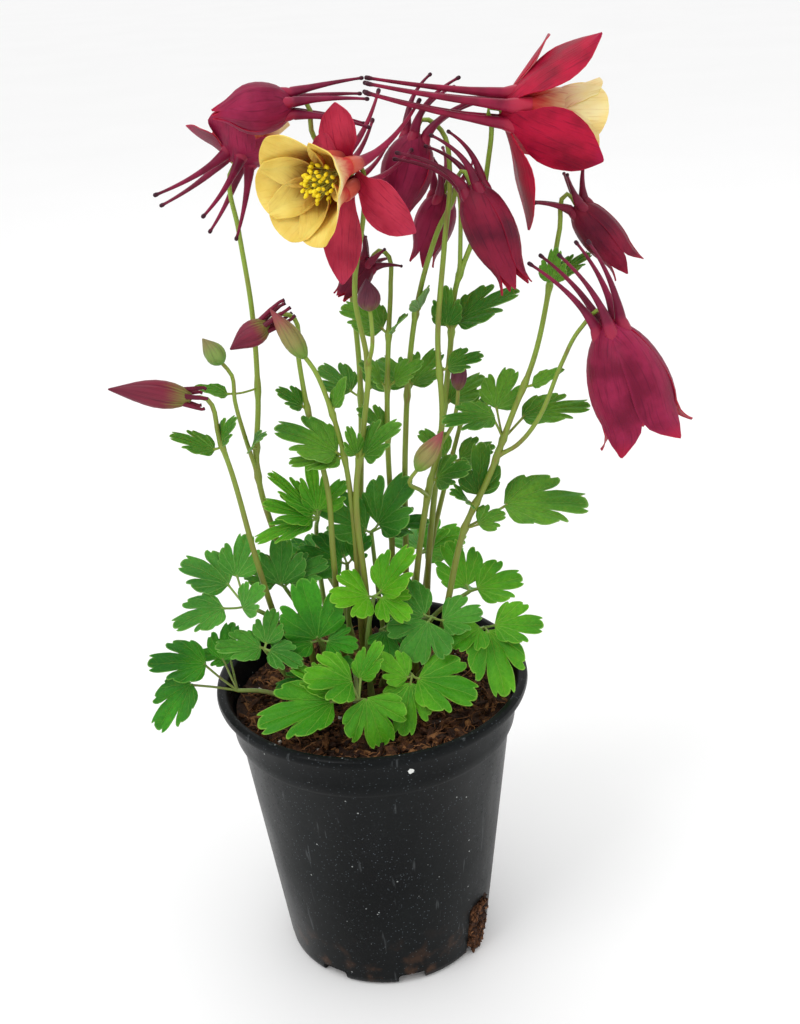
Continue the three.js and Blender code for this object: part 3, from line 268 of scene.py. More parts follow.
class Tissue:
    """Points and faces of a piece that is built up from grown surfaces. Each point has its pattern
    coordinates (u, v) and edge, its share of the way out to the edge of its leaf or petal."""

    def __init__(self):
        self.points, self.spots, self.faces, self.kinds = [], [], [], []

    def lay(self, rows, kind=0, closed=False):
        """A surface through rows of points, each with its (u, v, edge). Its outside is on the left of the
        way up the rows, as one goes along a row."""
        first, wide = len(self.points), len(rows[0])
        for point, spot in sum(rows, []):
            self.points.append(point)
            self.spots.append(spot)
        for i in range(len(rows) - 1):
            for k in range(wide if closed else wide - 1):
                a, b = first + i * wide + k, first + i * wide + (k + 1) % wide
                self.faces.append((a, b, b + wide, a + wide))
                self.kinds.append(kind)

    def tube(self, rings, kind=0):
        """A surface through rings of points, shut at both ends."""
        first, sides = len(self.points), len(rings[0])
        last = first + (len(rings) - 1) * sides
        self.lay(rings, kind, closed=True)
        self.faces += [tuple(range(first + sides - 1, first - 1, -1)), tuple(range(last, last + sides))]
        self.kinds += [kind, kind]

    def stalk(self, line, radii, sides, kind=0):
        """A round stalk along a centre line."""
        ends = [line[0], *line, line[-1]]
        ahead = [(after - before).normalized() for before, after in zip(ends, ends[2:])]
        side = ahead[0].orthogonal().normalized()
        rings = []
        for i, (centre, radius) in enumerate(zip(line, radii)):
            side = (side - ahead[i] * side.dot(ahead[i])).normalized()
            across = ahead[i].cross(side)
            ring = []
            for k in range(sides):
                turn = 2 * math.pi * k / sides
                point = centre + (side * math.cos(turn) + across * math.sin(turn)) * radius
                ring.append((point, (k / sides, i / (len(line) - 1), 0)))
            rings.append(ring)
        self.tube(rings, kind)

    def copy_in(self, points, faces, kind):
        first = len(self.points)
        self.points.extend(points)
        self.spots.extend([NO_SPOT] * len(points))
        self.faces.extend(tuple(first + k for k in face) for face in faces)
        self.kinds.extend([kind] * len(faces))

    def piece(self, name, finishes, thickness=0.0):
        """The finished object. A sheet gets its thickness, with the next finish on its inner side."""
        mesh = bpy.data.meshes.new(name)
        mesh.from_pydata([tuple(p) for p in self.points], [], self.faces)
        mesh.polygons.foreach_set("material_index", self.kinds)
        spots = mesh.uv_layers.new(name="UVMap")
        for corner in mesh.loops:
            spots.data[corner.index].uv = self.spots[corner.vertex_index][:2]
        edge = mesh.attributes.new("edge", "FLOAT", "POINT")
        edge.data.foreach_set("value", [spot[2] for spot in self.spots])
        for finish in finishes:
            mesh.materials.append(finish)
        made = bpy.data.objects.new(name, mesh)
        bpy.context.scene.collection.objects.link(made)
        if thickness:
            work(made, "SOLIDIFY", thickness=thickness, offset=0, material_offset=1, material_offset_rim=0)
        return made


def raised(height):
    return Vector((0, 0, height * MM))


def soil_point(radius, turn, height=None):
    """A point of the rough top, or at a height of its own, in metres."""
    x, y = radius * math.cos(turn), radius * math.sin(turn)
    if height is None:
        lumps = [rise * noise.noise(Vector((x, y, layer)) / width) for rise, width, layer in SOIL_LUMPS]
        height = SOIL_LEVEL + sum(lumps)
    return Vector((x, y, height)) * MM


def anywhere(reach):
    """A random point of the top, within a radius."""
    return soil_point(reach * math.sqrt(draw.random()), draw.uniform(0, ANY_TURN))


fill = Tissue()
top = [(SOIL_EDGE * (1 - i / SOIL_RINGS) + 0.01, None) for i in range(SOIL_RINGS + 1)]
turns = [2 * math.pi * k / SOIL_SIDES for k in range(SOIL_SIDES)]
stops = SOIL_UNDER + top
rings = [[(soil_point(radius, turn, height), NO_SPOT) for turn in turns] for radius, height in stops]
fill.lay(rings, closed=True)

chips = []
for seed in range(4):
    deselect()
    bpy.ops.mesh.primitive_cube_add(size=1)
    bpy.ops.object.mode_set(mode="EDIT")
    bpy.ops.mesh.subdivide(number_cuts=1)
    bpy.ops.transform.vertex_random(offset=0.16, seed=seed, uniform=0.1)
    bpy.ops.object.mode_set(mode="OBJECT")
    chip = bpy.context.object
    chips.append(([v.co.copy() for v in chip.data.vertices], [tuple(p.vertices) for p in chip.data.polygons]))
    bpy.data.objects.remove(chip)


def scatter_chip(spot, size, kind, lean=0.45):
    """Copies a chip to a place, turned at random. A small lean leaves it nearly lying."""
    points, faces = draw.choice(chips)
    spin, tilt, roll = draw.uniform(0, ANY_TURN), draw.gauss(0, lean), draw.gauss(0, lean)
    ahead = Vector((math.cos(spin) * math.cos(tilt), math.sin(spin) * math.cos(tilt), math.sin(tilt)))
    side = Vector((-math.sin(spin) * math.cos(roll), math.cos(spin) * math.cos(roll), math.sin(roll)))
    up = ahead.cross(side)
    long, wide, thick = (value * MM for value in size)
    placed = [spot + ahead * p.x * long + side * p.y * wide + up * p.z * thick for p in points]
    fill.copy_in(placed, faces, kind)


for count in range(2300):
    long = draw.choice([1.5, 2, 2.5, 3.5, 5, 8])
    spot = anywhere(SOIL_EDGE - 0.6 * long) + raised(draw.uniform(-0.3, 0.9))
    size = (long, draw.uniform(0.5, 0.9) * long ** 0.6, draw.uniform(0.5, 1.2))
    scatter_chip(spot, size, draw.choices([DARK_BARK, PALE_BARK, PEAT], [5, 2, 3])[0])

for count in range(640):
    line = [anywhere(0.95 * SOIL_EDGE) + raised(draw.uniform(0.2, 1.6))]
    heading, bend = draw.uniform(0, ANY_TURN), draw.gauss(0, 0.35)
    for step in range(6):
        heading += bend
        stride = Vector((math.cos(heading), math.sin(heading), draw.gauss(0, 0.25)))
        line.append(line[-1] + stride * draw.uniform(0.9, 2.1) * MM)
    line = [p for p in line if math.hypot(p.x, p.y) < FIBRE_EDGE * MM]
    if len(line) > 2:
        fill.stalk(line, [draw.uniform(0.1, 0.24) * MM] * len(line), 3, COIR if count % 2 else PALE_BARK)

for count in range(26):
    scatter_chip(anywhere(0.95 * SOIL_EDGE) + raised(0.6), (1.5, 1.3, 1.2), WHITE_GRAIN)

slot_out = Vector((math.cos(math.radians(SLOT_TURN)), math.sin(math.radians(SLOT_TURN)), 0))
slot_side = Vector((-slot_out.y, slot_out.x, 0))


def in_slot(across, up, out):
    """A point in the tall slot: across it, above the base, and out from the fill behind it."""
    return (slot_out * (SLOT_FILL[0] + SLOT_FILL[1] * up + out) + slot_side * across) * MM + raised(up)


for count in range(330):
    across, up = draw.uniform(-6.2, 6.2), draw.uniform(2, 25.5)
    spot = in_slot(across, up, draw.uniform(0, 2.6) - 0.03 * across ** 2)
    scatter_chip(spot, (2.4, 1.7, 1.6), DARK_BARK if count % 2 else PEAT, 1.5)

for count in range(24):
    line = [in_slot(draw.uniform(-5, 5), draw.uniform(6, 24), 1.9)]
    for step in range(6):
        drop = slot_side * draw.gauss(0, 0.7) + slot_out * draw.uniform(-0.25, 0.2)
        drop.z = draw.uniform(-1, 0.4)
        line.append(line[-1] + drop * 1.5 * MM)
    fill.stalk(line, [0.25 * MM] * len(line), 4, COIR)


def earth(name, dark, light):
    made = Finish(name, Specular_IOR_Level=0.25)
    crumbs = made.noise(420, 5, Roughness=0.7)
    grain = made.noise(2600, 3)
    colour = made.blend(made.span(crumbs, 0.34, 0.68), dark, light)
    return made.paint(colour, made.span(grain, 0.3, 0.7, 0.98, 0.7), [(crumbs, 0.8 * MM), (grain, 0.12 * MM)])


soil = fill.piece("growing_medium", [
    earth("peat", (30, 17, 11), (70, 44, 29)),
    earth("dark_bark", (50, 29, 17), (106, 67, 39)),
    earth("pale_bark", (98, 62, 36), (158, 110, 66)),
    earth("coir", (110, 68, 40), (168, 118, 78)),
    earth("perlite", (190, 186, 178), (235, 232, 226)),
])
smooth(soil, 35)
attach(soil, "root")
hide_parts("soil")

# ---------------------------------------------------------------- basal leaves
# Each leaf has one long petiole that rises from the soil and carries short-stalked leaflets: thin fans
# of three lobes with rounded teeth, veins that spread from the foot, and a paler underside.

STALK_DEPTH, STALK_RISE = 8, 2.6  # how far a stalk stands upright, below the top of the soil and above it
LEAFLET_LENGTH, LEAFLET_WIDTH = 1.16, 1.3  # how far leaflets outgrow the sizes in the lists of leaves
LEAFLET_FACE = Vector((0, -0.5, 0.86))  # the way that a blade faces, as far as its direction lets it
LEAFLET_FOLD = 0.22
LEAFLET_DROOP = 0.16
LEAFLET_ROWS = [0.04, 0.12, 0.22, 0.33, 0.45, 0.57, 0.68, 0.78, 0.87, 0.94, 0.98, 1]  # shares of the way out
LEAFLET_STALK = [(0, 0.34), (18, 0.46), (30, 0.55)]  # length of a leaflet, and radius of its stalk
BIG_LEAFLET = 16  # length from which a leaflet has all its teeth
LEAF_THICKNESS = 0.36 * MM
VEIN_STEP = math.radians(20)
PATTERN = 40  # millimetres in one unit of the pattern coordinates

# The edge of a leaflet, in teeth from left to right. Between two notches, each at (degrees from the
# midrib, reach as a share of the length), a tooth bulges out.
TOOTHED = (
    [(-84, 0.42), (-66, 0.77), (-47, 0.89), (-30, 0.54), (-11, 0.95),
     (11, 0.95), (30, 0.54), (47, 0.89), (66, 0.77), (84, 0.42)],
    [0.13, 0.09, 0.2, 0.2, 0.07, 0.2, 0.2, 0.09, 0.13])
LOBED = (
    [(-80, 0.4), (-50, 0.8), (-31, 0.56), (-10, 0.92), (10, 0.92), (31, 0.56), (50, 0.8), (80, 0.4)],
    [0.18, 0.18, 0.18, 0.09, 0.18, 0.18, 0.18])
BRACT = ([(-68, 0.36), (-25, 0.66), (0, 1), (25, 0.66), (68, 0.36)], [0.06, 0.04, 0.04, 0.06])

# Name, shade, foot in the soil, bends, hub, and leaflets as (foot, tip, width).
BASAL_LEAVES = [
    ("leaf_front", "fresh", (-6, 4), [(-7, -10, 138)], (-6, -33, 137), [
        (-8, -30, 144, -22, -37, 152, 18), (-5, -29, 144, 2, -26, 156, 9), (-16, -34, 138, -41, -40, 137, 19),
        (-14, -31, 140, -28, -27, 150, 10), (-3, -35, 139, 2, -43, 125, 20)]),
    ("leaf_front_right", "fresh", (4, 5), [(8, -6, 136)], (16, -21, 139), [
        (18, -24, 139, 37, -32, 137, 20), (15, -25, 138, 11, -38, 127, 16), (14, -23, 139, 5, -23, 149, 12)]),
    ("leaf_middle_right", "blue", (12, 10), [(18, 4, 148)], (26, -5, 156), [
        (24, -10, 157, 17, -18, 147, 22), (23, -7, 158, 10, 0, 169, 15), (30, -9, 156, 43, -12, 161, 14)]),
    ("leaf_right_rim", "fresh", (20, 9), [(28, -6, 140)], (47, -8, 151), [
        (48, -12, 152, 52, -28, 136, 18), (51, -10, 153, 67, -14, 155, 15),
        (45, -11, 153, 35, -18, 151, 15)]),
    ("leaf_right_back", "fresh", (17, 19), [(28, 14, 146)], (43, 9, 159), [
        (42, 10, 161, 37, 17, 176, 16), (46, 7, 161, 62, 8, 165, 16), (43, 12, 158, 46, 24, 155, 12)]),
    ("leaf_bright", "bright", (-1, -2), [(-1, -3, 146)], (3, -4, 167), [
        (1, -7, 169, -11, -13, 173, 18), (6, -6, 170, 16, -7, 186, 14), (6, -7, 168, 15, -14, 163, 14)]),
    ("leaf_upper_left", "deep", (-9, 24), [(-8, 22, 150)], (-7, 17, 172), [
        (-9, 15, 174, -24, 12, 181, 17), (-5, 15, 175, 1, 12, 185, 11), (-8, 19, 175, -14, 28, 182, 12)]),
    ("leaf_left_big", "deep", (-14, 6), [(-17, 0, 138)], (-20, -9, 152), [
        (-21, -12, 154, -24, -10, 175, 20), (-23, -13, 153, -36, -17, 157, 12),
        (-17, -13, 153, -7, -17, 153, 13)]),
    ("leaf_left_back", "blue", (-20, 20), [(-21, 12, 140)], (-33, 3, 171), [
        (-34, 1, 173, -33, 6, 188, 16), (-31, 3, 173, -18, 5, 180, 13), (-36, 3, 173, -47, 4, 183, 12)]),
    ("leaf_left", "blue", (-24, 2), [(-33, -3, 148), (-41, -8, 165)], (-48, -10, 170), [
        (-54, -7, 179, -69, -3, 188, 15), (-51, -5, 181, -47, 1, 194, 13), (-56, -17, 174, -72, -24, 174, 13),
        (-49, -14, 171, -42, -17, 181, 12)]),
    ("leaf_left_rim", "deep", (-18, -3), [(-32, -14, 128), (-46, -14, 133)], (-55, -14, 134), [
        (-57, -5, 146, -68, -8, 149, 10), (-66, -15, 148, -84, -19, 154, 15),
        (-60, -11, 147, -56, -4, 158, 12), (-72, -20, 143, -86, -27, 131, 14)]),
    ("leaf_strip", "blue", (-27, -5), [(-36, -12, 140)], (-42, -18, 155), [
        (-43, -19, 156, -57, -23, 161, 11), (-41, -18, 157, -38, -14, 168, 10),
        (-40, -20, 155, -29, -26, 153, 10)]),
    ("leaf_low_left", "deep", (-12, -6), [(-16, -10, 130)], (-20, -15, 137), [
        (-22, -16, 138, -36, -20, 139, 9), (-19, -18, 138, -18, -28, 135, 10),
        (-18, -15, 139, -10, -18, 146, 11)]),
    ("leaf_centre", "deep", (6, 14), [(5, 10, 140)], (5, 2, 148), [
        (7, -1, 149, 8, -12, 145, 13), (7, 1, 150, 18, -2, 148, 12)]),
    ("leaf_high", "blue", (7, 27), [(5, 25, 160)], (4, 17, 186), [
        (2, 14, 188, -13, 12, 202, 18), (7, 15, 190, 17, 12, 208, 20), (8, 15, 189, 24, 11, 193, 12)]),
    ("leaf_tuft", "fresh", (-16, 28), [(-19, 30, 160), (-19, 28, 182)], (-17, 7, 199), [
        (-18, 6, 201, -31, 8, 217, 8), (-19, 5, 200, -34, 2, 209, 11), (-19, 4, 199, -39, 0, 197, 9),
        (-17, 6, 202, -18, 9, 219, 9), (-16, 9, 201, -7, 14, 210, 11)]),
    ("leaf_back_right", "fresh", (14, 31), [(20, 36, 148)], (25, 42, 162), [
        (27, 44, 163, 42, 50, 168, 18), (25, 45, 163, 22, 62, 166, 18), (27, 41, 163, 40, 36, 170, 13)]),
    ("leaf_back_left", "deep", (-6, 34), [(-12, 40, 146)], (-19, 46, 158), [
        (-22, 47, 159, -38, 48, 163, 16), (-18, 49, 160, -12, 64, 164, 18),
        (-21, 45, 160, -34, 37, 166, 15)]),
]


def between(stops, at):
    """The value at a place between stops of (place, value)."""
    for (low, first), (high, second) in zip(stops, stops[1:]):
        if at <= high:
            return first + (second - first) * max(0, at - low) / (high - low)
    return stops[-1][1]


def smooth_line(route, spacing=3.0):
    """A line that bends smoothly through the points of a route, in millimetres."""
    route = [Vector(p) for p in route]
    ways = []
    for i, point in enumerate(route):
        back = (point - route[i - 1]).normalized() if i else Vector()
        ahead = (route[i + 1] - point).normalized() if i < len(route) - 1 else Vector()
        ways.append((back + ahead).normalized())
    line = [route[0]]
    for i in range(len(route) - 1):
        reach = (route[i + 1] - route[i]).length
        steps = max(2, round(reach / spacing) + 1)
        first, last = route[i] + ways[i] * reach / 3, route[i + 1] - ways[i + 1] * reach / 3
        line.extend(interpolate_bezier(route[i], first, last, route[i + 1], steps)[1:])
    return line


def standing_line(foot, route):
    """The centre line of a stalk that stands upright in the soil before it leans away."""
    bottom, out = (*foot, SOIL_LEVEL - STALK_DEPTH), (*foot, SOIL_LEVEL + STALK_RISE)
    return [Vector(bottom), *smooth_line([out, *route])]


def nearest_on(line, spot):
    """The point of a centre line nearest to a spot."""
    found = []
    for start, end in zip(line, line[1:]):
        point, share = intersect_point_line(spot, start, end)
        found.append(start.lerp(end, min(1, max(0, share))))
    return min(found, key=lambda point: (point - spot).length)


def edge_reach(edge, degrees):
    """How far the edge of a leaflet reaches in one direction, as a share of its length."""
    notches, bulges = edge
    for (low, first), (high, second), bulge in zip(notches, notches[1:], bulges):
        if degrees <= high:
            share = min(1, max(0, (degrees - low) / (high - low)))
            return first + (second - first) * share + bulge * math.sqrt(max(0, 1 - (2 * share - 1) ** 2))
    return notches[-1][1]


def grow_leaflet(blades, stalks, hub, entry, seed):
    """A leaflet and its stalk from the hub, in millimetres."""
    foot, tip, width = Vector(entry[:3]), Vector(entry[3:6]), entry[6] * LEAFLET_WIDTH
    along = tip - foot
    length = LEAFLET_LENGTH * along.length
    along.normalize()
    face = (LEAFLET_FACE - along * LEAFLET_FACE.dot(along)).normalized()
    across = along.cross(face)
    big = length >= BIG_LEAFLET
    edge = TOOTHED if big else BRACT if width < 0.62 * length else LOBED
    widest = max(edge_reach(edge, d) * math.sin(math.radians(d)) for d in range(0, 86, 2))
    slim = width / (2 * widest * length)
    steps = 7 if big else 5
    notches = [degrees for degrees, _ in edge[0]]
    turns = [a + (b - a) * k / steps for a, b in zip(notches, notches[1:]) for k in range(steps)]
    turns.append(notches[-1])

    def blade_point(share, degrees):
        turn = math.radians(degrees)
        out = share * length * edge_reach(edge, degrees)
        u, v = slim * out * math.sin(turn), out * math.cos(turn)
        fold = LEAFLET_FOLD * (math.hypot(u, 1.2) - 1.2)
        droop = LEAFLET_DROOP * length * (v / length) ** 2
        pleats = 0.018 * length * share ** 1.5 * math.cos(18 * turn)
        waves = 1.1 * share * noise.noise(Vector((u / 8, v / 8, seed * 3.7)))
        crinkle = 0.5 * max(0, share - 0.8) * noise.noise(Vector((u / 2.5, v / 2.5, seed * 1.3 + 50)))
        lift = fold - droop - pleats + waves - crinkle
        point = (foot + across * u + along * v + face * lift) * MM
        return point, (0.5 + u / PATTERN, v / PATTERN, share)

    blades.lay([[blade_point(share, degrees) for degrees in turns] for share in LEAFLET_ROWS])
    neck = foot + along * 0.05 * length
    sag = hub.lerp(foot, 0.5) - face * 0.06 * (foot - hub).length
    line = smooth_line([hub, sag, neck], 2)
    thick = between(LEAFLET_STALK, length)
    radii = [thick + 0.2, *[thick] * (len(line) - 2), thick + 0.2]
    stalks.stalk([p * MM for p in line], [radius * MM for radius in radii], 7)


def green(name, shade, bright, vein, upper=True):
    """Leaf tissue with its veins. They spread from the foot of each leaflet and fork towards its edge."""
    made = Finish(name, Roughness=0.5, Specular_IOR_Level=0.2, Subsurface_Weight=0.08, Subsurface_Scale=0.002)
    spot, across, along = made.grown()
    u = made.sums("ADD", made.swing(across, PATTERN), made.swing(made.noise(11, 2, spot), 1.4))
    v = made.times(along, PATTERN)
    out = made.sums("SQRT", made.sums("ADD", made.times(u, u), made.times(v, v)))
    off = made.sums("WRAP", made.sums("ARCTAN2", u, v), VEIN_STEP / 2, -VEIN_STEP / 2)
    away = made.times(out, made.sums("ABSOLUTE", off))
    main = made.span(away, 0.26, 0.04)
    chevron = made.sums("SUBTRACT", out, made.times(away, 1.5))
    fork = made.span(made.sums("PINGPONG", chevron, 1.3), 0.24, 0.04)
    forks = made.times(fork, made.span(away, 3.2, 0.6, 0.05, 0.5))
    net = made.span(made.cells(34, spot, "DISTANCE_TO_EDGE"), 0.09, 0.0, 0.0, 0.22)
    veins = made.sums("MAXIMUM", made.sums("MAXIMUM", main, forks), net)
    drift = made.noise(34, 4)
    base = made.blend(made.span(drift, 0.32, 0.7), shade, bright)
    mottled = made.blend(made.span(made.noise(700, 2), 0.35, 0.75, 0.0, 0.4), base, shade)
    veined = made.blend(made.times(veins, 0.36 if upper else 0.55), mottled, vein)
    # Paler towards the edge of each leaflet: a painted highlight along the rim.
    rimmed = made.blend(made.span(made.edge(), 0.96, 1.0, 0.0, 0.5), veined, vein)
    relief = made.sums("SUBTRACT", 1.0, veins) if upper else veins
    smoothest, roughest = (0.42, 0.56) if upper else (0.6, 0.75)
    gloss = made.span(drift, 0.3, 0.7, smoothest, roughest)
    return made.paint(rimmed, gloss, [(relief, 0.22 * MM), (made.noise(1500, 2), 0.03 * MM)])


def woody_green(name, low, high, blush, start, end):
    """Stalk tissue with fine ribs and a blush in streaks. Its green changes between two heights, in
    metres."""
    made = Finish(name, Specular_IOR_Level=0.4, Subsurface_Weight=0.1, Subsurface_Scale=0.002)
    base = made.blend(made.span(made.height(), start, end), low, high)
    fine = made.noise(260, 4, made.stretched(3, 3, 0.25))
    streaked = made.blend(made.span(fine, 0.35, 0.7), base, blush)
    mixed = made.blend(made.span(made.noise(45, 3), 0.4, 0.7, 0.15, 0.65), base, streaked)
    return made.paint(mixed, made.span(fine, 0.3, 0.7, 0.38, 0.55), [(fine, 0.12 * MM)])


leaf_greens = {
    "deep": green("leaf_deep", (22, 96, 8), (58, 144, 20), (120, 180, 70)),
    "blue": green("leaf_blue_green", (34, 104, 20), (74, 148, 40), (140, 190, 96)),
    "fresh": green("leaf_fresh", (46, 126, 6), (92, 168, 22), (156, 206, 80)),
    "bright": green("leaf_bright", (54, 134, 2), (98, 174, 16), (164, 210, 80)),
}
underside = green("leaf_underside", (96, 138, 70), (128, 168, 96), (160, 192, 124), upper=False)
petiole_green = woody_green("petiole", (118, 132, 62), (126, 158, 70), (120, 92, 66), 0.118, 0.16)

for count, (name, shade, foot, bends, hub, leaflets) in enumerate(BASAL_LEAVES):
    blades, stalks = Tissue(), Tissue()
    line = standing_line(foot, [*bends, hub])
    swell = [1.25 - 0.4 * i / (len(line) - 1) + 0.5 * max(0, 1 - i / 3) for i in range(len(line))]
    stalks.stalk([p * MM for p in line], [radius * MM for radius in swell], 10)
    for k, entry in enumerate(leaflets):
        grow_leaflet(blades, stalks, Vector(hub), entry, 10 * count + k)
    sheets = blades.piece(name + "_blades", [leaf_greens[shade], underside], LEAF_THICKNESS)
    leaf = joined([sheets, stalks.piece(name + "_stalks", [petiole_green])], name + "_grown")
    smooth(leaf)
    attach(leaf, "root")
    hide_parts(name)

# ---------------------------------------------------------------- flowering stems
# Round, slender, slightly ridged stems that branch near the top. Small lobed leaves and narrow bracts
# sit at swollen joints. Each stem and each branch ends in a flower or a bud.

STEM_LEAD = 6  # how far behind a flower its stem turns onto the flower's axis
STEM_GAP = 0.1  # how far short of its flower or bud a stem ends
HEART = (1.8, 1.6)  # radius and depth of the foot of the sepals, in a fully open flower

# Name, middle where sepals and spurs meet, the way the mouth looks, size, and the turns of the five
# sepals; then the sepal, spur and petal, as they are shaped below.
FLOWERS = {
    "flower_open": dict(
        at=(5, -17, 338.5), axis=(-0.66, -0.75, -0.07), size=1.04, turns=[100, 160, 212, 262, 324],
        sepal=(34, 18, (64, 88, 96), 0.12), reach=[0.62, 0.5, 0.9, 1.15, 0.92], lean=[6, 6, 4, -4, 4],
        spur=(32, 10, 4, (-2, -6, 12)), petal=(22, 20, (32, 36, 46))),
    "flower_great": dict(
        at=(60, -8, 354), axis=(0.97, 0.12, -0.17), size=1.03, turns=[50, 112, 206, 270, 342],
        sepal=(40, 23, (58, 36, 42), 0.15), reach=[0.9, 1, 1, 1.05, 0.9], lean=[20, 4, -8, 32, 0],
        spur=(49, -2, -2, (0, 0, 3)), petal=(25, 20, (14, 12, 26))),
    "flower_first_bell": dict(
        at=(-14, -7, 360), axis=(-0.99, -0.12, -0.04), size=0.76, turn=54,
        sepal=(32, 11, (70, 24, -8, -40, -14), 0.2), spur=(26, 8, 6, (0, 0, -3))),
    "flower_left": dict(
        at=(-35, 14, 339.5), axis=(0.5, 0.33, 0.8), size=1, turn=53,
        sepal=(27, 20, (62, 60, 48), 0.16), reach=[0.75, 0.88, 1, 1, 1], lean=[26, 0, 0, 0, 0],
        spur=(26, 22, 12, (-6, 0, 0)), petal=(13, 12, (26, 22, 20))),
    "flower_dark_left": dict(
        at=(30, 8, 344.5), axis=(-0.34, -0.2, -0.91), size=0.78, turn=16,
        sepal=(36, 12, (66, 22, -6, -28, 6), 0.2), spur=(24, 18, 14, (12, 0, -5))),
    "flower_dark_bell": dict(
        at=(47, -16, 329.5), axis=(0.36, -0.28, -0.89), size=0.78, turn=11,
        sepal=(42, 13, (60, 14, -6, -22, 24), 0.2), spur=(22, 14, 10, (-10, -3, -4))),
    "flower_hidden_bell": dict(
        at=(39.5, 18, 321), axis=(-0.34, 0.1, -0.92), size=0.75, turn=52,
        sepal=(31, 12, (64, 18, -6, -24, 20), 0.2), spur=(20, 18, 10, (-4.5, 4.5, -4))),
    "flower_small_right": dict(
        at=(87, 2, 317), axis=(0.62, -0.2, -0.76), size=0.68, turn=40,
        sepal=(33, 11, (60, 14, -2, -14, 30), 0.2), spur=(15, 30, 24, (0, 0, 0))),
    "flower_right_bell": dict(
        at=(93, -26, 280), axis=(0.3, -0.17, -0.94), size=0.95, turn=50,
        sepal=(51, 20, (58, 28, 8, -12, 56), 0.2), spur=(29, 11, 4, (-9, -3, 0))),
    "flower_young": dict(
        at=(10, 13, 299), axis=(-0.7, -0.2, -0.68), size=0.58, turn=50,
        sepal=(20, 8.5, (66, 22, -6, -30, 6), 0.2), spur=(10, 36, 26, (0, 0, 0))),
}

# Name: foot, axis, length, radius and spur of each closed bud.
BUDS = {
    "bud_far_left": ((-58, -19, 262), (-0.93, -0.3, 0.28), 30, 5.2, 5),
    "bud_pink": ((-29, 1, 282), (-0.85, -0.25, -0.46), 17, 5, 10),
    "bud_green": ((-47, -3, 269), (-0.5, -0.1, 0.86), 12, 4, 0),
    "bud_slim": ((-16, -6, 270), (-0.5, 0, 0.86), 22, 4, 0),
    "bud_round": ((9, -9, 287), (-0.05, -0.1, 1), 12, 4.4, 0),
    "bud_low": ((23, -9, 223), (0.55, -0.1, 0.83), 19, 4.2, 0),
    "bud_dark": ((41, 3, 250), (0.1, 0, 0.99), 14, 3.2, 0),
}

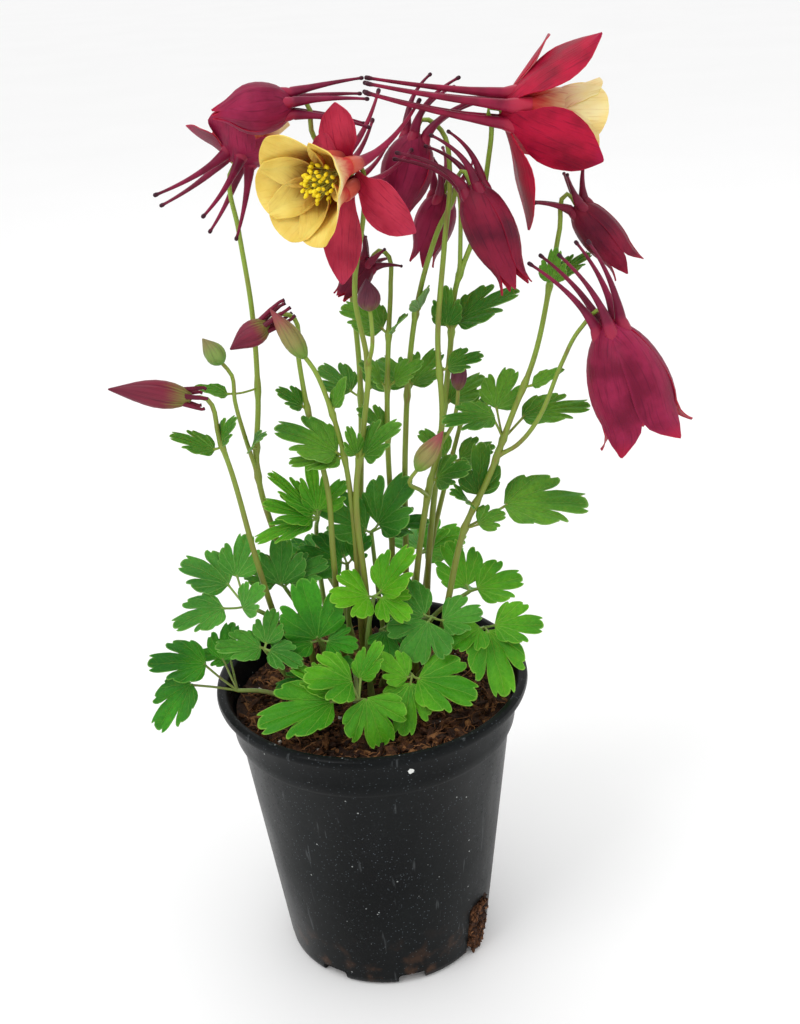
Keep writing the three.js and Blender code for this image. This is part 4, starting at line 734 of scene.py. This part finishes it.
# Name, foot, what it carries, route, branches as (what they carry, route), and leaves as
# (joint on the stem, leaflets).
STEMS = [
    ("stem_far_left", (-30, 8), "bud_far_left",
     [(-36, 0, 150), (-42, -9, 190), (-47, -14, 229), (-50, -16, 245)], [],
     [((-50, -16, 241), [(-49, -17, 243, -45, -22, 253, 8), (-52, -17, 240, -64, -19, 248, 7)])]),
    ("stem_left", (-24, 14), "flower_left",
     [(-28, 14, 160), (-35, 11, 190), (-39, 5, 222), (-36, 8, 250), (-35, 11, 284), (-37, 13, 315)],
     [("bud_green", [(-39, 5, 220), (-42, 1, 238), (-44, -2, 254)])],
     [((-41, 2, 232), [(-40, 0, 233, -36, -6, 241, 8)]),
      ((-44, -2, 256), [(-46, -4, 257, -55, -8, 263, 5)])]),
    ("stem_pink_bud", (-11, 15), "bud_pink",
     [(-12, 4, 160), (-12, 0, 188), (-12, 2, 212), (-17, 6, 243), (-19, 5, 268), (-19, 4, 282)], [],
     [((-17, 6, 245), [(-19, 5, 247, -26, 2, 255, 8)])]),
    ("stem_slim_bud", (-3, 14), "bud_slim", [(-3, 5, 160), (-3, 0, 206), (-5, -3, 232), (-9, -5, 252)], [],
     [((-5, -2, 228), [(-7, -3, 230, -25, -3, 242, 15), (-6, -4, 228, -22, -8, 231, 9)]),
      ((-8, -4, 247), [(-7, -5, 249, -3, -7, 260, 5)])]),
    ("stem_open_flower", (0, 9), "flower_open",
     [(0, 6, 150), (0, 1, 168), (-1, -2, 212), (4, 0, 240), (7, 1, 262), (4, 3, 290), (9, -6, 321),
      (10, -10, 333)],
     [("bud_round", [(7, 1, 263), (9, -5, 272)])],
     [((1, -1, 226), [(3, -3, 228, 13, -8, 241, 12), (0, -4, 229, -1, -9, 240, 7)])]),
    ("stem_young_flower", (10, 20), "flower_young",
     [(12, 25, 165), (13, 25, 195), (13, 16, 222), (14, 13, 247), (16, 15, 270), (18, 16, 290),
      (18, 16, 300)], [],
     [((13, 15, 229), [(12, 13, 231, 5, 9, 242, 11)]),
      ((14, 13, 250), [(12, 11, 252, 7, 5, 262, 11), (17, 11, 252, 25, 7, 261, 9)]),
      ((16, 15, 270), [(18, 13, 272, 21, 6, 280, 7), (14, 17, 272, 2, 20, 281, 13)])]),
    ("stem_first_bell", (-2, 28), "flower_first_bell",
     [(-1, 30, 170), (4, 31, 250), (2, 26, 300), (-1, 15, 335), (-4, 3, 343), (-7, -6, 351)], [],
     [((4, 31, 240), [(0, 33, 242, -10, 39, 251, 12), (8, 33, 243, 18, 40, 250, 12)])]),
    ("stem_hidden_bell", (16, 26), "flower_hidden_bell",
     [(18, 25, 170), (20, 19, 220), (24, 15, 262), (29, 8, 290), (36, 8, 310), (43.5, 9, 325)], [],
     [((22, 17, 245), [(22, 20, 247, 14, 28, 256, 12), (24, 19, 248, 34, 25, 258, 12)]),
      ((27, 11, 279), [(28, 9, 281, 29, 2, 291, 9)])]),
    ("stem_tall", (19, 14), "flower_dark_left",
     [(21, 9, 165), (27, 5, 204), (34, 2, 236), (34, 2, 272), (38, 1, 308), (41, 3, 332), (39, 8.5, 346)],
     [("bud_dark", [(34, 2, 228), (38, 3, 235), (40, 3, 242)]), ("bud_low", [(27, 5, 206), (24, -3, 212)])],
     [((29, 4, 212), [(31, 2, 214, 41, -4, 221, 13)]), ((34, 2, 258), [(37, 1, 260, 48, -2, 265, 9)])]),
    ("stem_great_flower", (24, 22), "flower_great",
     [(27, 17, 170), (33, 12, 220), (39, 11, 262), (42, 9, 288), (50, 2, 312), (54, -4, 336),
      (55, -8.5, 350)],
     [("flower_dark_bell", [(44, 8, 294), (44, -1, 320), (43, -9, 333)])],
     [((40, 11, 271), [(42, 9, 275, 60, 5, 287, 13), (38, 8, 274, 38, 3, 287, 9)]),
      ((36, 12, 240), [(38, 13, 242, 50, 17, 250, 11)])]),
    ("stem_right", (27, 12), "flower_small_right",
     [(33, -1, 160), (41, -3, 194), (51, -3, 215), (60, -4, 239), (70, -3, 264), (77, -1, 295), (80, 0, 310)],
     [("flower_right_bell", [(55, -4, 224), (62, -6, 229), (70, -10, 241), (78, -14, 263), (84, -22, 279)])],
     [((41, -3, 194), [(57, -1, 202, 86, -1, 203, 19), (46, -7, 197, 55, -6, 201, 10)]),
      ((46, -3, 204), [(47, -1, 207, 49, 3, 224, 13), (43, -5, 206, 38, -12, 214, 10)]),
      ((57, -4, 231), [(55, 1, 242, 61, 6, 254, 13), (54, -5, 241, 37, -8, 243, 11),
                       (65, 1, 238, 87, 0, 243, 11)]),
      ((65, -4, 252), [(68, -7, 253, 77, -11, 260, 6)]),
      ((76, -1, 289), [(76, -4, 291, 77, -7, 302, 8), (78, 1, 291, 90, 6, 299, 6)])]),
    ("stem_right_back", (22, 30), None, [(28, 30, 165), (37, 25, 205), (44, 22, 232)], [],
     [((39, 24, 212), [(42, 22, 213, 53, 18, 220, 12), (37, 26, 214, 29, 30, 223, 11)]),
      ((44, 22, 231), [(45, 22, 233, 48, 23, 245, 8), (46, 23, 232, 56, 27, 238, 8)])]),
]


def stem_end(name):
    """The last points of a stem, which comes in along the axis of the flower or bud that it carries."""
    if name in BUDS:
        at, axis = BUDS[name][:2]
        behind = STEM_GAP
    else:
        at, axis = FLOWERS[name]["at"], FLOWERS[name]["axis"]
        behind = HEART[1] * FLOWERS[name]["size"] + STEM_GAP
    return [Vector(at) - Vector(axis).normalized() * distance for distance in (STEM_LEAD, behind)]


def swollen(line, thick, thin, joints):
    """Radii along a stem that tapers, with a swelling at each joint."""
    radii = []
    for i, point in enumerate(line):
        bulge = sum(0.55 * math.exp(-((point - joint).length / 2.2) ** 2) for joint in joints)
        radii.append((thick + (thin - thick) * i / (len(line) - 1) + bulge) * MM)
    return radii


stem_green = woody_green("stem", (114, 122, 44), (134, 164, 54), (128, 92, 60), 0.14, 0.3)
stem_leaf = green("stem_leaf", (46, 108, 16), (94, 152, 36), (142, 186, 90))

for count, (name, foot, carries, route, branches, leaves) in enumerate(STEMS):
    blades, stalks = Tissue(), Tissue()
    line = standing_line(foot, [*route, *(stem_end(carries) if carries else [])])
    joints = [nearest_on(line, Vector(joint)) for joint, _ in leaves]
    starts = [nearest_on(line, Vector(way[0])) for _, way in branches]
    stalks.stalk([p * MM for p in line], swollen(line, 1.45, 0.85, joints + starts), 12)
    for start, (bloom, way) in zip(starts, branches):
        side = smooth_line([start, *way[1:], *stem_end(bloom)], 2.5)
        stalks.stalk([p * MM for p in side], swollen(side, 0.9, 0.75, [side[0]]), 10)
    for j, (hub, (_, leaflets)) in enumerate(zip(joints, leaves)):
        for k, entry in enumerate(leaflets):
            grow_leaflet(blades, stalks, hub, entry, 300 + 20 * count + 5 * j + k)
    sheets = blades.piece(name + "_blades", [stem_leaf, underside], LEAF_THICKNESS)
    stem = joined([sheets, stalks.piece(name + "_stalks", [stem_green])], name + "_grown")
    smooth(stem)
    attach(stem, "root")
    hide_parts(name)

# ---------------------------------------------------------------- sepals and spurs
# Five thin pointed sepals, spread wide in an open flower and closed to a nodding bell in a young one.
# Between them five hollow spurs run back past the stem, narrowing to a small knob.

SEPAL_THICKNESS = 0.34 * MM
SEPAL_ROWS = [0, 0.04, 0.09, 0.15, 0.22, 0.29, 0.37, 0.45, 0.53, 0.61, 0.69, 0.77, 0.84, 0.9, 0.95, 0.98, 1]
SEPAL_ACROSS = 13  # points from side to side
OPEN_WIDTH = [(0, 0.16), (0.13, 0.3), (0.24, 0.46), (0.36, 0.8), (0.48, 1), (0.62, 0.98), (0.8, 0.74),
              (0.9, 0.42), (0.96, 0.2), (1, 0.02)]
BELL_WIDTH = [(0.76, 1), (0.84, 0.8), (0.9, 0.56), (0.95, 0.3), (0.98, 0.14), (1, 0.02)]
CLOSED_SHARE, CLOSED_ROW = 0.76, 11  # how far up a closed flower its sepals meet, and the row after that
CLOSED_HALF = math.sin(math.radians(39))  # half the width of a sepal there, over its distance from the axis
OPEN_SPUR = [(6.2, 7, 3), (5.8, 4.2, 2.85), (5.4, 1.9, 2.6), (5, 0, 2.35)]  # radius, height and thickness
CLOSED_SPUR = [(5.4, 4.4, 2.4), (5.3, 2.4, 2.6), (5.1, 0.4, 2.5), (5, -1.2, 2.2)]
SPUR_TAPER = [(0, 2.15), (0.12, 1.8), (0.27, 1.3), (0.6, 0.82), (0.9, 0.54), (0.955, 0.56), (0.975, 0.8),
              (1, 0.74)]
SPUR_STEPS = 40
HEART_SHAPE = [(-2.2, 0.8), (-1.8, 1.3), (-1.2, 1.8), (0, 2.1), (1.2, 1.9), (2.2, 1.2), (2.6, 0.3)]


class FlowerFrame:
    """A flower's own directions: forward out of the mouth, and turns counted from its right."""

    def __init__(self, at, axis):
        self.at, self.forward = Vector(at), Vector(axis).normalized()
        self.up = (Vector((0, 0, 1)) - self.forward * self.forward.z).normalized()
        self.right = self.up.cross(self.forward)

    def place(self, turn, radius, height, sideways=0.0):
        angle = math.radians(turn)
        out = self.right * math.cos(angle) + self.up * math.sin(angle)
        side = self.up * math.cos(angle) - self.right * math.sin(angle)
        return (self.at + out * radius + self.forward * height + side * sideways) * MM


def sepal_turns(flower):
    return flower.get("turns") or [flower["turn"] + 72 * k for k in range(5)]


def spur_turns(flower):
    """The directions of the spurs, each midway between a sepal and the one before it."""
    turns = sepal_turns(flower)
    return [(turn + (turns[i - 1] if i else turns[4] - 360)) / 2 for i, turn in enumerate(turns)]


def midrib(start, length, flare, shares):
    """Radius, height and angle to the axis at shares of the length of a petal or sepal. The angle runs
    through the values of flare, which are spaced evenly along it."""
    steps, (radius, height) = 120, start
    line = []
    for i in range(steps + 1):
        spot = i / steps * (len(flare) - 1)
        low = min(int(spot), len(flare) - 2)
        angle = math.radians(flare[low] + (flare[low + 1] - flare[low]) * (spot - low))
        line.append((radius, height, angle))
        radius += math.sin(angle) * length / steps
        height += math.cos(angle) * length / steps
    return [line[round(share * steps)] for share in shares]


def side_to_side(number):
    """Evenly spaced places across a sepal or petal, from one edge at 1 to the other at -1."""
    return [1 - 2 * k / (number - 1) for k in range(number)]


def grow_sepal(sheets, shape, turn, flower, order):
    length, width, flare, cup = flower["sepal"]
    size, bell = flower["size"], "petal" not in flower
    length *= flower.get("reach", [1] * 5)[order]
    lean = flower.get("lean", [0] * 5)[order]
    flare = [flare[0], *(angle + lean for angle in flare[1:])]
    line = midrib((HEART[0] * size, -HEART[1] * size), length, flare, SEPAL_ROWS)
    waist = line[CLOSED_ROW][0] * CLOSED_HALF
    rows = []
    for share, (radius, height, angle) in zip(SEPAL_ROWS, line):
        if not bell:
            half = width / 2 * between(OPEN_WIDTH, share)
        elif share < CLOSED_SHARE:
            half = max(radius, 1) * CLOSED_HALF
        else:
            half = waist * between(BELL_WIDTH, share)
        row = []
        for t in side_to_side(SEPAL_ACROSS):
            drop = cup * half * t * t
            if bell:
                arc = min(0.92, abs(t) * half / max(radius, 1))
                drop = radius * (1 - math.sqrt(1 - arc * arc)) * between([(0, 1), (0.8, 1), (1, 0.5)], share)
            ripple = 0.05 * half * t * t * math.sin(9 * share + 2.3 * order + (1.7 if t > 0 else 0))
            keel = 0.28 * math.exp(-((t / 0.16) ** 2)) * math.sin(math.pi * share)
            twist = (0.22 * t if bell else 0.12 * t) * size
            waves = 0.5 * size * share * noise.noise(Vector((t * 1.6, share * 3, order * 4.1 + length)))
            drop -= keel + ripple + twist + waves
            out, up = radius - drop * math.cos(angle), height + drop * math.sin(angle)
            row.append((shape.place(turn, out, up, t * half), (0.5 + t * half / PATTERN, share, abs(t))))
        rows.append(row)
    sheets.lay(rows)


def grow_spur(stalks, shape, turn, flower):
    length, spread, curl, sway = flower["spur"]
    size = flower["size"]
    foot = [[value * size for value in stop] for stop in (OPEN_SPUR if "petal" in flower else CLOSED_SPUR)]
    line = [shape.place(turn, radius, height) for radius, height, _ in foot]
    radii = [thick * MM for _, _, thick in foot]
    radius, height, _ = foot[-1]
    for i in range(1, SPUR_STEPS + 1):
        share = i / SPUR_STEPS
        angle = math.radians(spread + curl * share)
        radius += math.sin(angle) * length / SPUR_STEPS
        height -= math.cos(angle) * length / SPUR_STEPS
        line.append(shape.place(turn, radius, height) + Vector(sway) * MM * share ** 2)
        radii.append(between(SPUR_TAPER, share) * MM * (0.55 + 0.45 * size))
    line.append(line[-1] + (line[-1] - line[-2]).normalized() * 0.35 * MM)
    radii.append(0.5 * radii[-1])
    stalks.stalk(line, radii, 12)


def sepal_skin(name, deep, fresh, tip, streak, foot=None):
    """Sepal tissue: fine veins run from foot to tip, the colour drifts, and the foot may differ."""
    made = Finish(name, Specular_IOR_Level=0.14, Subsurface_Weight=0.1, Subsurface_Scale=0.002)
    spot, _, along = made.grown()
    drift = made.noise(85, 4)
    base = made.blend(made.span(drift, 0.3, 0.7), deep, fresh)
    fine = made.noise(1.0, 3, made.stretched(62, 3.2, 1, spot), Distortion=0.4)
    veined = made.blend(made.span(fine, 0.52, 0.68, 0.0, 0.5), base, streak)
    ended = made.blend(made.span(along, 0.86, 1.0, 0.0, 0.7), veined, tip)
    if foot:
        ended = made.blend(made.span(along, 0.0, 0.3, 0.75, 0.0), ended, foot)
    rimmed = made.blend(made.span(made.edge(), 0.86, 1.0, 0.0, 0.35), ended, fresh)
    reliefs = [(fine, 0.16 * MM), (made.noise(1800, 2), 0.035 * MM)]
    return made.paint(rimmed, made.span(drift, 0.3, 0.7, 0.42, 0.6), reliefs)


def spur_skin(name, deep, fresh, mouth, knob):
    """Spur tissue: smooth and satin, darker towards the knob."""
    made = Finish(name, Specular_IOR_Level=0.25, Subsurface_Weight=0.08, Subsurface_Scale=0.002)
    _, _, along = made.grown()
    drift = made.noise(120, 3)
    base = made.blend(made.span(drift, 0.3, 0.7), deep, fresh)
    opened = made.blend(made.span(along, 0.0, 0.14, 1.0, 0.0), base, mouth)
    ended = made.blend(made.span(along, 0.9, 0.97), opened, knob)
    return made.paint(ended, made.span(drift, 0.3, 0.7, 0.34, 0.5), [(made.noise(1500, 2), 0.03 * MM)])


def flower_colours(name, outside, inside, spur, foot=None):
    return {
        "outside": sepal_skin(name + "_outside", *outside, foot),
        "inside": sepal_skin(name + "_inside", *inside),
        "spur": spur_skin(name + "_spur", *spur),
    }


crimson = flower_colours(
    "crimson", [(122, 6, 36), (176, 20, 56), (150, 14, 62), (96, 4, 36)],
    [(150, 8, 36), (192, 24, 54), (160, 16, 50), (112, 4, 34)],
    [(110, 8, 40), (148, 18, 60), (178, 40, 66), (56, 10, 30)])
plum = flower_colours(
    "plum", [(108, 14, 46), (150, 34, 72), (170, 24, 56), (84, 6, 40)],
    [(148, 12, 40), (184, 28, 56), (164, 20, 52), (108, 6, 36)],
    [(96, 10, 42), (132, 22, 62), (158, 36, 66), (54, 10, 30)])
rosy = flower_colours(
    "rosy", [(146, 20, 56), (186, 50, 88), (176, 50, 90), (110, 10, 50)],
    [(148, 20, 50), (186, 50, 76), (176, 50, 80), (114, 10, 44)],
    [(120, 16, 50), (158, 32, 70), (204, 96, 76), (60, 12, 34)])
dusky = flower_colours(
    "dusky", [(84, 12, 36), (128, 26, 52), (156, 26, 54), (62, 6, 32)],
    [(122, 6, 34), (164, 18, 48), (156, 20, 50), (84, 4, 30)],
    [(84, 8, 34), (120, 18, 52), (124, 22, 50), (54, 8, 28)], foot=(112, 34, 50))
SEPAL_COLOURS = {
    "flower_great": crimson, "flower_open": rosy, "flower_dark_bell": dusky, "flower_small_right": dusky,
    "flower_young": dusky,
}
heart_green = woody_green("flower_heart", (146, 160, 76), (160, 176, 86), (150, 96, 74), 0.0, 0.5)

for name, flower in FLOWERS.items():
    sheets, spurs, heart = Tissue(), Tissue(), Tissue()
    shape = FlowerFrame(flower["at"], flower["axis"])
    for order, turn in enumerate(sepal_turns(flower)):
        grow_sepal(sheets, shape, turn, flower, order)
    for turn in spur_turns(flower):
        grow_spur(spurs, shape, turn, flower)
    size = flower["size"]
    line = [shape.place(0, 0, height * size) for height, _ in HEART_SHAPE]
    heart.stalk(line, [radius * size * MM for _, radius in HEART_SHAPE], 14)
    skin = SEPAL_COLOURS.get(name, plum)
    parts = [
        sheets.piece(name + "_sepals", [skin["inside"], skin["outside"]], SEPAL_THICKNESS),
        spurs.piece(name + "_spurs", [skin["spur"]]),
        heart.piece(name + "_heart", [heart_green]),
    ]
    sepals = joined(parts, name + "_sepals_and_spurs")
    smooth(sepals)
    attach(sepals, "root")
    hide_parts(name + "_crimson")

# ---------------------------------------------------------------- petals
# The blades of the five petals stand on the mouths of the spurs, in a loose cup: broad, rounded,
# pale yellow, rolled round their own throat at the foot and flushed red there on the outside. On the
# inside, the darker orange at the foot is painted shade, deep in the cup.

PETAL_THROAT = [(5, -1, 0.8), (5.3, 1.9, 1.6), (5.8, 4.6, 2.2), (6.1, 6.8, 2.55)]  # stops as in OPEN_SPUR
PETAL_FOOT = (6.2, 8.3)  # radius and height of the foot of the blade, in a fully open flower
PETAL_THICKNESS = 0.32 * MM
PETAL_ROWS = [0, 0.05, 0.1, 0.16, 0.22, 0.3, 0.38, 0.46, 0.55, 0.64, 0.73, 0.82, 0.9, 0.96, 1]
PETAL_ACROSS = 17  # points from side to side
PETAL_ROLL = [(0, 165), (0.12, 128), (0.25, 96), (0.45, 66), (0.7, 50), (1, 44)]
PETAL_WIDTH = [(0, 0.34), (0.12, 0.5), (0.25, 0.74), (0.45, 0.97), (0.6, 1), (0.8, 0.96), (1, 0.84)]


def grow_petal(sheets, shape, turn, flower, order):
    length, width, flare = flower["petal"]
    size = flower["size"]
    foot = (PETAL_FOOT[0] * size, PETAL_FOOT[1] * size)
    rows = []
    for radius, height, thick in PETAL_THROAT:
        row = []
        for t in side_to_side(PETAL_ACROSS):
            roll = math.radians(PETAL_ROLL[0][1] * t)
            out, sideways = radius + thick * math.cos(roll), thick * math.sin(roll)
            row.append((shape.place(turn, out * size, height * size, sideways * size), (0.5, 0, 0)))
        rows.append(row)
    for share in PETAL_ROWS:
        row = []
        for t in side_to_side(PETAL_ACROSS):
            here = share * (1 - 0.2 * abs(t) ** 2.6 * share)
            [(radius, height, angle)] = midrib(foot, length, flare, [here])
            roll = math.radians(between(PETAL_ROLL, here))
            half = width / 2 * between(PETAL_WIDTH, here)
            bend = half / math.sin(min(roll, math.pi / 2))
            lift = bend * (math.cos(t * roll) - 1) + 2.6 * size * max(0, 1 - here / 0.5) ** 2
            lift += 0.35 * here * math.sin(7 * t + 2 * order)
            lift += 0.5 * here * noise.noise(Vector((t, 2 * here, order * 3.3)))
            out, up = radius + lift * math.cos(angle), height - lift * math.sin(angle)
            point = shape.place(turn, out, up, bend * math.sin(t * roll))
            row.append((point, (0.5 + t * half / PATTERN, here, abs(t))))
        rows.append(row)
    sheets.lay(rows)


def petal_skin(name, yellow, pale, flush_and_shade, reach, strength):
    """Petal tissue: pale yellow with darker veins, and a ragged colour from the foot up. Outside it is a red
    blush of the petal; inside it is painted shade, deep in the cup.
    """
    made = Finish(name, Specular_IOR_Level=0.15, Subsurface_Weight=0.12, Subsurface_Scale=0.002)
    spot, _, along = made.grown()
    drift = made.noise(90, 4)
    base = made.blend(made.span(drift, 0.3, 0.7), yellow, pale)
    fine = made.noise(1.0, 3, made.stretched(70, 3, 1, spot), Distortion=0.3)
    veined = made.blend(made.span(fine, 0.5, 0.7, 0.0, 0.3), base, (206, 168, 70))
    ragged = made.sums("ADD", along, made.swing(fine, 0.5))
    # Towards the foot: a red flush on the outside, painted shade of the deep cup on the inside.
    flushed_and_shaded = made.blend(made.span(ragged, 0.0, reach, strength, 0.0), veined, flush_and_shade)
    reliefs = [(fine, 0.12 * MM), (made.noise(1800, 2), 0.03 * MM)]
    return made.paint(flushed_and_shaded, made.span(drift, 0.3, 0.7, 0.4, 0.55), reliefs)


petal_outside = petal_skin("petal_outside", (250, 228, 144), (255, 244, 184), (196, 60, 58), 0.7, 1.0)
# The darker orange at the foot of the inside is painted shade, deep in the cup.
petal_inside = petal_skin("petal_inside", (222, 190, 84), (242, 218, 120), (156, 100, 32), 0.62, 0.95)
for name, flower in FLOWERS.items():
    if "petal" not in flower:
        continue
    sheets = Tissue()
    shape = FlowerFrame(flower["at"], flower["axis"])
    for order, turn in enumerate(spur_turns(flower)):
        grow_petal(sheets, shape, turn, flower, order)
    petals = sheets.piece(name + "_petals", [petal_inside, petal_outside], PETAL_THICKNESS)
    smooth(petals)
    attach(petals, "root")
    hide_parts(name + "_yellow")

# ---------------------------------------------------------------- stamens and styles
# A brush of fine threads round the green styles in the mouth of each open flower. Each thread ends in
# a bright yellow anther.

STAMENS = {"flower_open": 52, "flower_great": 30, "flower_left": 28}
STAMEN_FOOT = 3.4  # height of the foot of the threads and styles, in a fully open flower
STYLE_RADII = [0.75, 0.6, 0.38, 0.22]
THREAD_RADIUS = 0.16
ANTHER_SHAPE = [(-0.1, 0.2), (0.15, 0.48), (0.7, 0.62), (1.25, 0.55), (1.7, 0.22)]  # height and radius
ANTHER_SIZE = 1.15
THREAD, ANTHER, STYLE = range(3)


def plain(name, roughness, scale, first, second):
    """A finish that drifts between two colours."""
    made = Finish(name, Roughness=roughness)
    return made.paint(made.blend(made.noise(scale), first, second))


thread_green = plain("filament", 0.5, 300, (196, 200, 92), (226, 222, 128))
style_green = plain("styles", 0.45, 200, (170, 180, 52), (206, 204, 84))
pollen = Finish("anther", Roughness=0.7)
grains = pollen.noise(3500, 2)
pollen = pollen.paint(pollen.blend(grains, (236, 204, 4), (254, 236, 40)), None, [(grains, 0.1 * MM)])

for name, number in STAMENS.items():
    brush, flower = Tissue(), FLOWERS[name]
    shape = FlowerFrame(flower["at"], flower["axis"])
    sway = random.Random(number)
    start = STAMEN_FOOT * flower["size"]
    for k in range(5):
        line = [shape.place(72 * k, out, up) for out, up in ((0.9, start), (0.75, 9), (0.7, 14), (1.3, 19))]
        brush.stalk(line, [radius * MM for radius in STYLE_RADII], 7, STYLE)
    for k in range(number):
        turn, far = 360 * k * 0.382, math.sqrt((k + 0.5) / number)
        spread = 1 + 5.8 * far * sway.uniform(0.7, 1.1)
        reach = 22.5 - 7 * far + sway.uniform(-2.4, 1.6)
        stops = [(1.1, start), (1.2 + 0.3 * spread, 0.6 * reach), (spread, reach)]
        foot, bend, top = [shape.place(turn, out, up) for out, up in stops]
        brush.stalk([foot, foot.lerp(bend, 0.5), bend, top], [THREAD_RADIUS * MM] * 4, 4, THREAD)
        ahead = (top - bend).normalized()
        lean = (ahead + Vector([sway.gauss(0, 0.35) for _ in range(3)])).normalized() * ANTHER_SIZE
        line = [top + (ahead * 0.2 + lean * (height - 0.4)) * MM for height, _ in ANTHER_SHAPE]
        brush.stalk(line, [radius * ANTHER_SIZE * MM for _, radius in ANTHER_SHAPE], 6, ANTHER)
    stamens = brush.piece(name + "_brush", [thread_green, pollen, style_green])
    smooth(stamens, 60)
    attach(stamens, "root")
    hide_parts(name + "_stamens")

# ---------------------------------------------------------------- buds
# Sepals still closed round the rest of the flower, meeting in seams and drawn to a point. Green at the
# foot, flushed pink or purple towards the tip, with the first short spurs on the more advanced ones.

BUD_SIDES = 40
BUD_SHAPE = [
    (0, 0.3), (0.05, 0.52), (0.12, 0.74), (0.22, 0.92), (0.33, 1), (0.45, 0.99), (0.57, 0.88), (0.68, 0.7),
    (0.78, 0.5), (0.87, 0.32), (0.94, 0.18), (0.98, 0.1), (1, 0.05),
]
BUD_SPUR_RADII = [1.15, 1.1, 0.85, 0.6, 0.7]


def bud_skin(name, foot, middle, tip, streak):
    """Bud tissue: three colours from foot to tip that run into each other, with veins and dark seams."""
    made = Finish(name, Specular_IOR_Level=0.35, Subsurface_Weight=0.1, Subsurface_Scale=0.002)
    spot, _, along = made.grown()
    fine = made.noise(1.0, 3, made.stretched(26, 2.5, 1, spot))
    shifted = made.sums("ADD", along, made.swing(fine, 0.5))
    base = made.blend(made.span(shifted, 0.05, 0.4), foot, middle)
    upper = made.blend(made.span(shifted, 0.45, 0.9), base, tip)
    veined = made.blend(made.span(fine, 0.5, 0.68, 0.0, 0.4), upper, streak)
    seamed = made.blend(made.span(made.edge(), 0.8, 1.0, 0.0, 0.45), veined, streak)
    reliefs = [(fine, 0.15 * MM), (made.noise(1500, 2), 0.04 * MM)]
    return made.paint(seamed, made.span(fine, 0.3, 0.7, 0.45, 0.6), reliefs)


green_pink = bud_skin("green_pink_bud", (112, 148, 54), (140, 132, 74), (150, 66, 74), (96, 92, 52))
all_green = bud_skin("green_bud", (104, 146, 56), (124, 150, 72), (132, 124, 76), (86, 100, 52))
red_bud = bud_skin("red_bud", (124, 120, 54), (120, 24, 50), (108, 18, 46), (82, 16, 38))
purple_bud = bud_skin("purple_bud", (112, 84, 60), (98, 40, 56), (88, 28, 50), (70, 26, 42))
BUD_COLOURS = {
    "bud_far_left": red_bud, "bud_pink": red_bud, "bud_green": all_green, "bud_round": purple_bud,
    "bud_dark": purple_bud,
}

for name, (at, axis, length, radius, spur) in BUDS.items():
    closed, back = Tissue(), Tissue()
    shape = FlowerFrame(at, axis)
    rings = []
    for share, wide in BUD_SHAPE:
        ring = []
        for k in range(BUD_SIDES):
            turn = 360 * k / BUD_SIDES
            seam = abs(math.cos(math.radians(2.5 * turn)))
            girth = wide * radius * (0.84 + 0.16 * seam ** 0.7)
            point = shape.place(turn + 50 * share, girth, share * length)
            ring.append((point, (abs(2 * k / BUD_SIDES - 1), share, 1 - seam)))
        rings.append(ring)
    closed.tube(rings)
    parts = [closed.piece(name + "_closed", [BUD_COLOURS.get(name, green_pink)])]
    if spur:
        stops = [
            (0.3 * radius, 0.3 * length), (0.5 * radius, 0.1 * length), (0.7 * radius, -0.35 * spur),
            (0.8 * radius, -0.8 * spur), (0.72 * radius, -spur),
        ]
        for k in range(5):
            line = [shape.place(72 * k + 18, out, up) for out, up in stops]
            back.stalk(line, [thick * MM for thick in BUD_SPUR_RADII], 8)
        parts.append(back.piece(name + "_spurs", [dusky["spur"]]))
    bud = joined(parts, name + "_grown")
    smooth(bud, 60)
    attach(bud, "root")
    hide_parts(name)

# ---------------------------------------------------------------- floor, light and camera
# A plain pale floor, a wide soft light from the left and the front, weaker ones from the right and from
# behind, and a camera that looks down at the plant from the front.

LAMPS = [((-0.7, -0.6, 1.4), 0.6, 6), ((1.1, -0.5, 0.9), 0.8, 1), ((0.1, 0.9, 1.5), 0.8, 2)]
LAMPS_AIM = Vector((0, 0, 0.2))
CAMERA_PLACE = (0, -0.469, 0.415)
CAMERA_RIGHT = Vector((0.99678694, -0.05843149, -0.05478639))
CAMERA_UP = Vector((0.07402316, 0.41069387, 0.90876351))

deselect()
bpy.ops.mesh.primitive_plane_add(size=24)
floor = bpy.context.object
floor.name = "floor"
floor.data.materials.append(plain("pale_floor", 0.9, 3, (246, 246, 246), (250, 250, 250)))

world = bpy.data.worlds.new("soft_daylight")
world.use_nodes = True
sky = world.node_tree.nodes["Background"]
sky.inputs["Color"].default_value = (1, 1, 1, 1)
sky.inputs["Strength"].default_value = 1.0
bpy.context.scene.world = world
for place, size, power in LAMPS:
    bpy.ops.object.light_add(type="AREA", location=place)
    lamp = bpy.context.object
    lamp.data.size, lamp.data.energy = size, power
    lamp.rotation_euler = (LAMPS_AIM - Vector(place)).to_track_quat("-Z", "Y").to_euler()

bpy.ops.object.camera_add(location=CAMERA_PLACE)
camera = bpy.context.object
back = CAMERA_RIGHT.cross(CAMERA_UP).normalized()
camera.rotation_mode = "QUATERNION"
camera.rotation_quaternion = Matrix((CAMERA_RIGHT, CAMERA_UP, back)).transposed().to_quaternion()
camera.data.lens = 45.7
camera.data.clip_start = 0.01
bpy.context.scene.camera = camera
bpy.context.scene.view_settings.view_transform = "Standard"
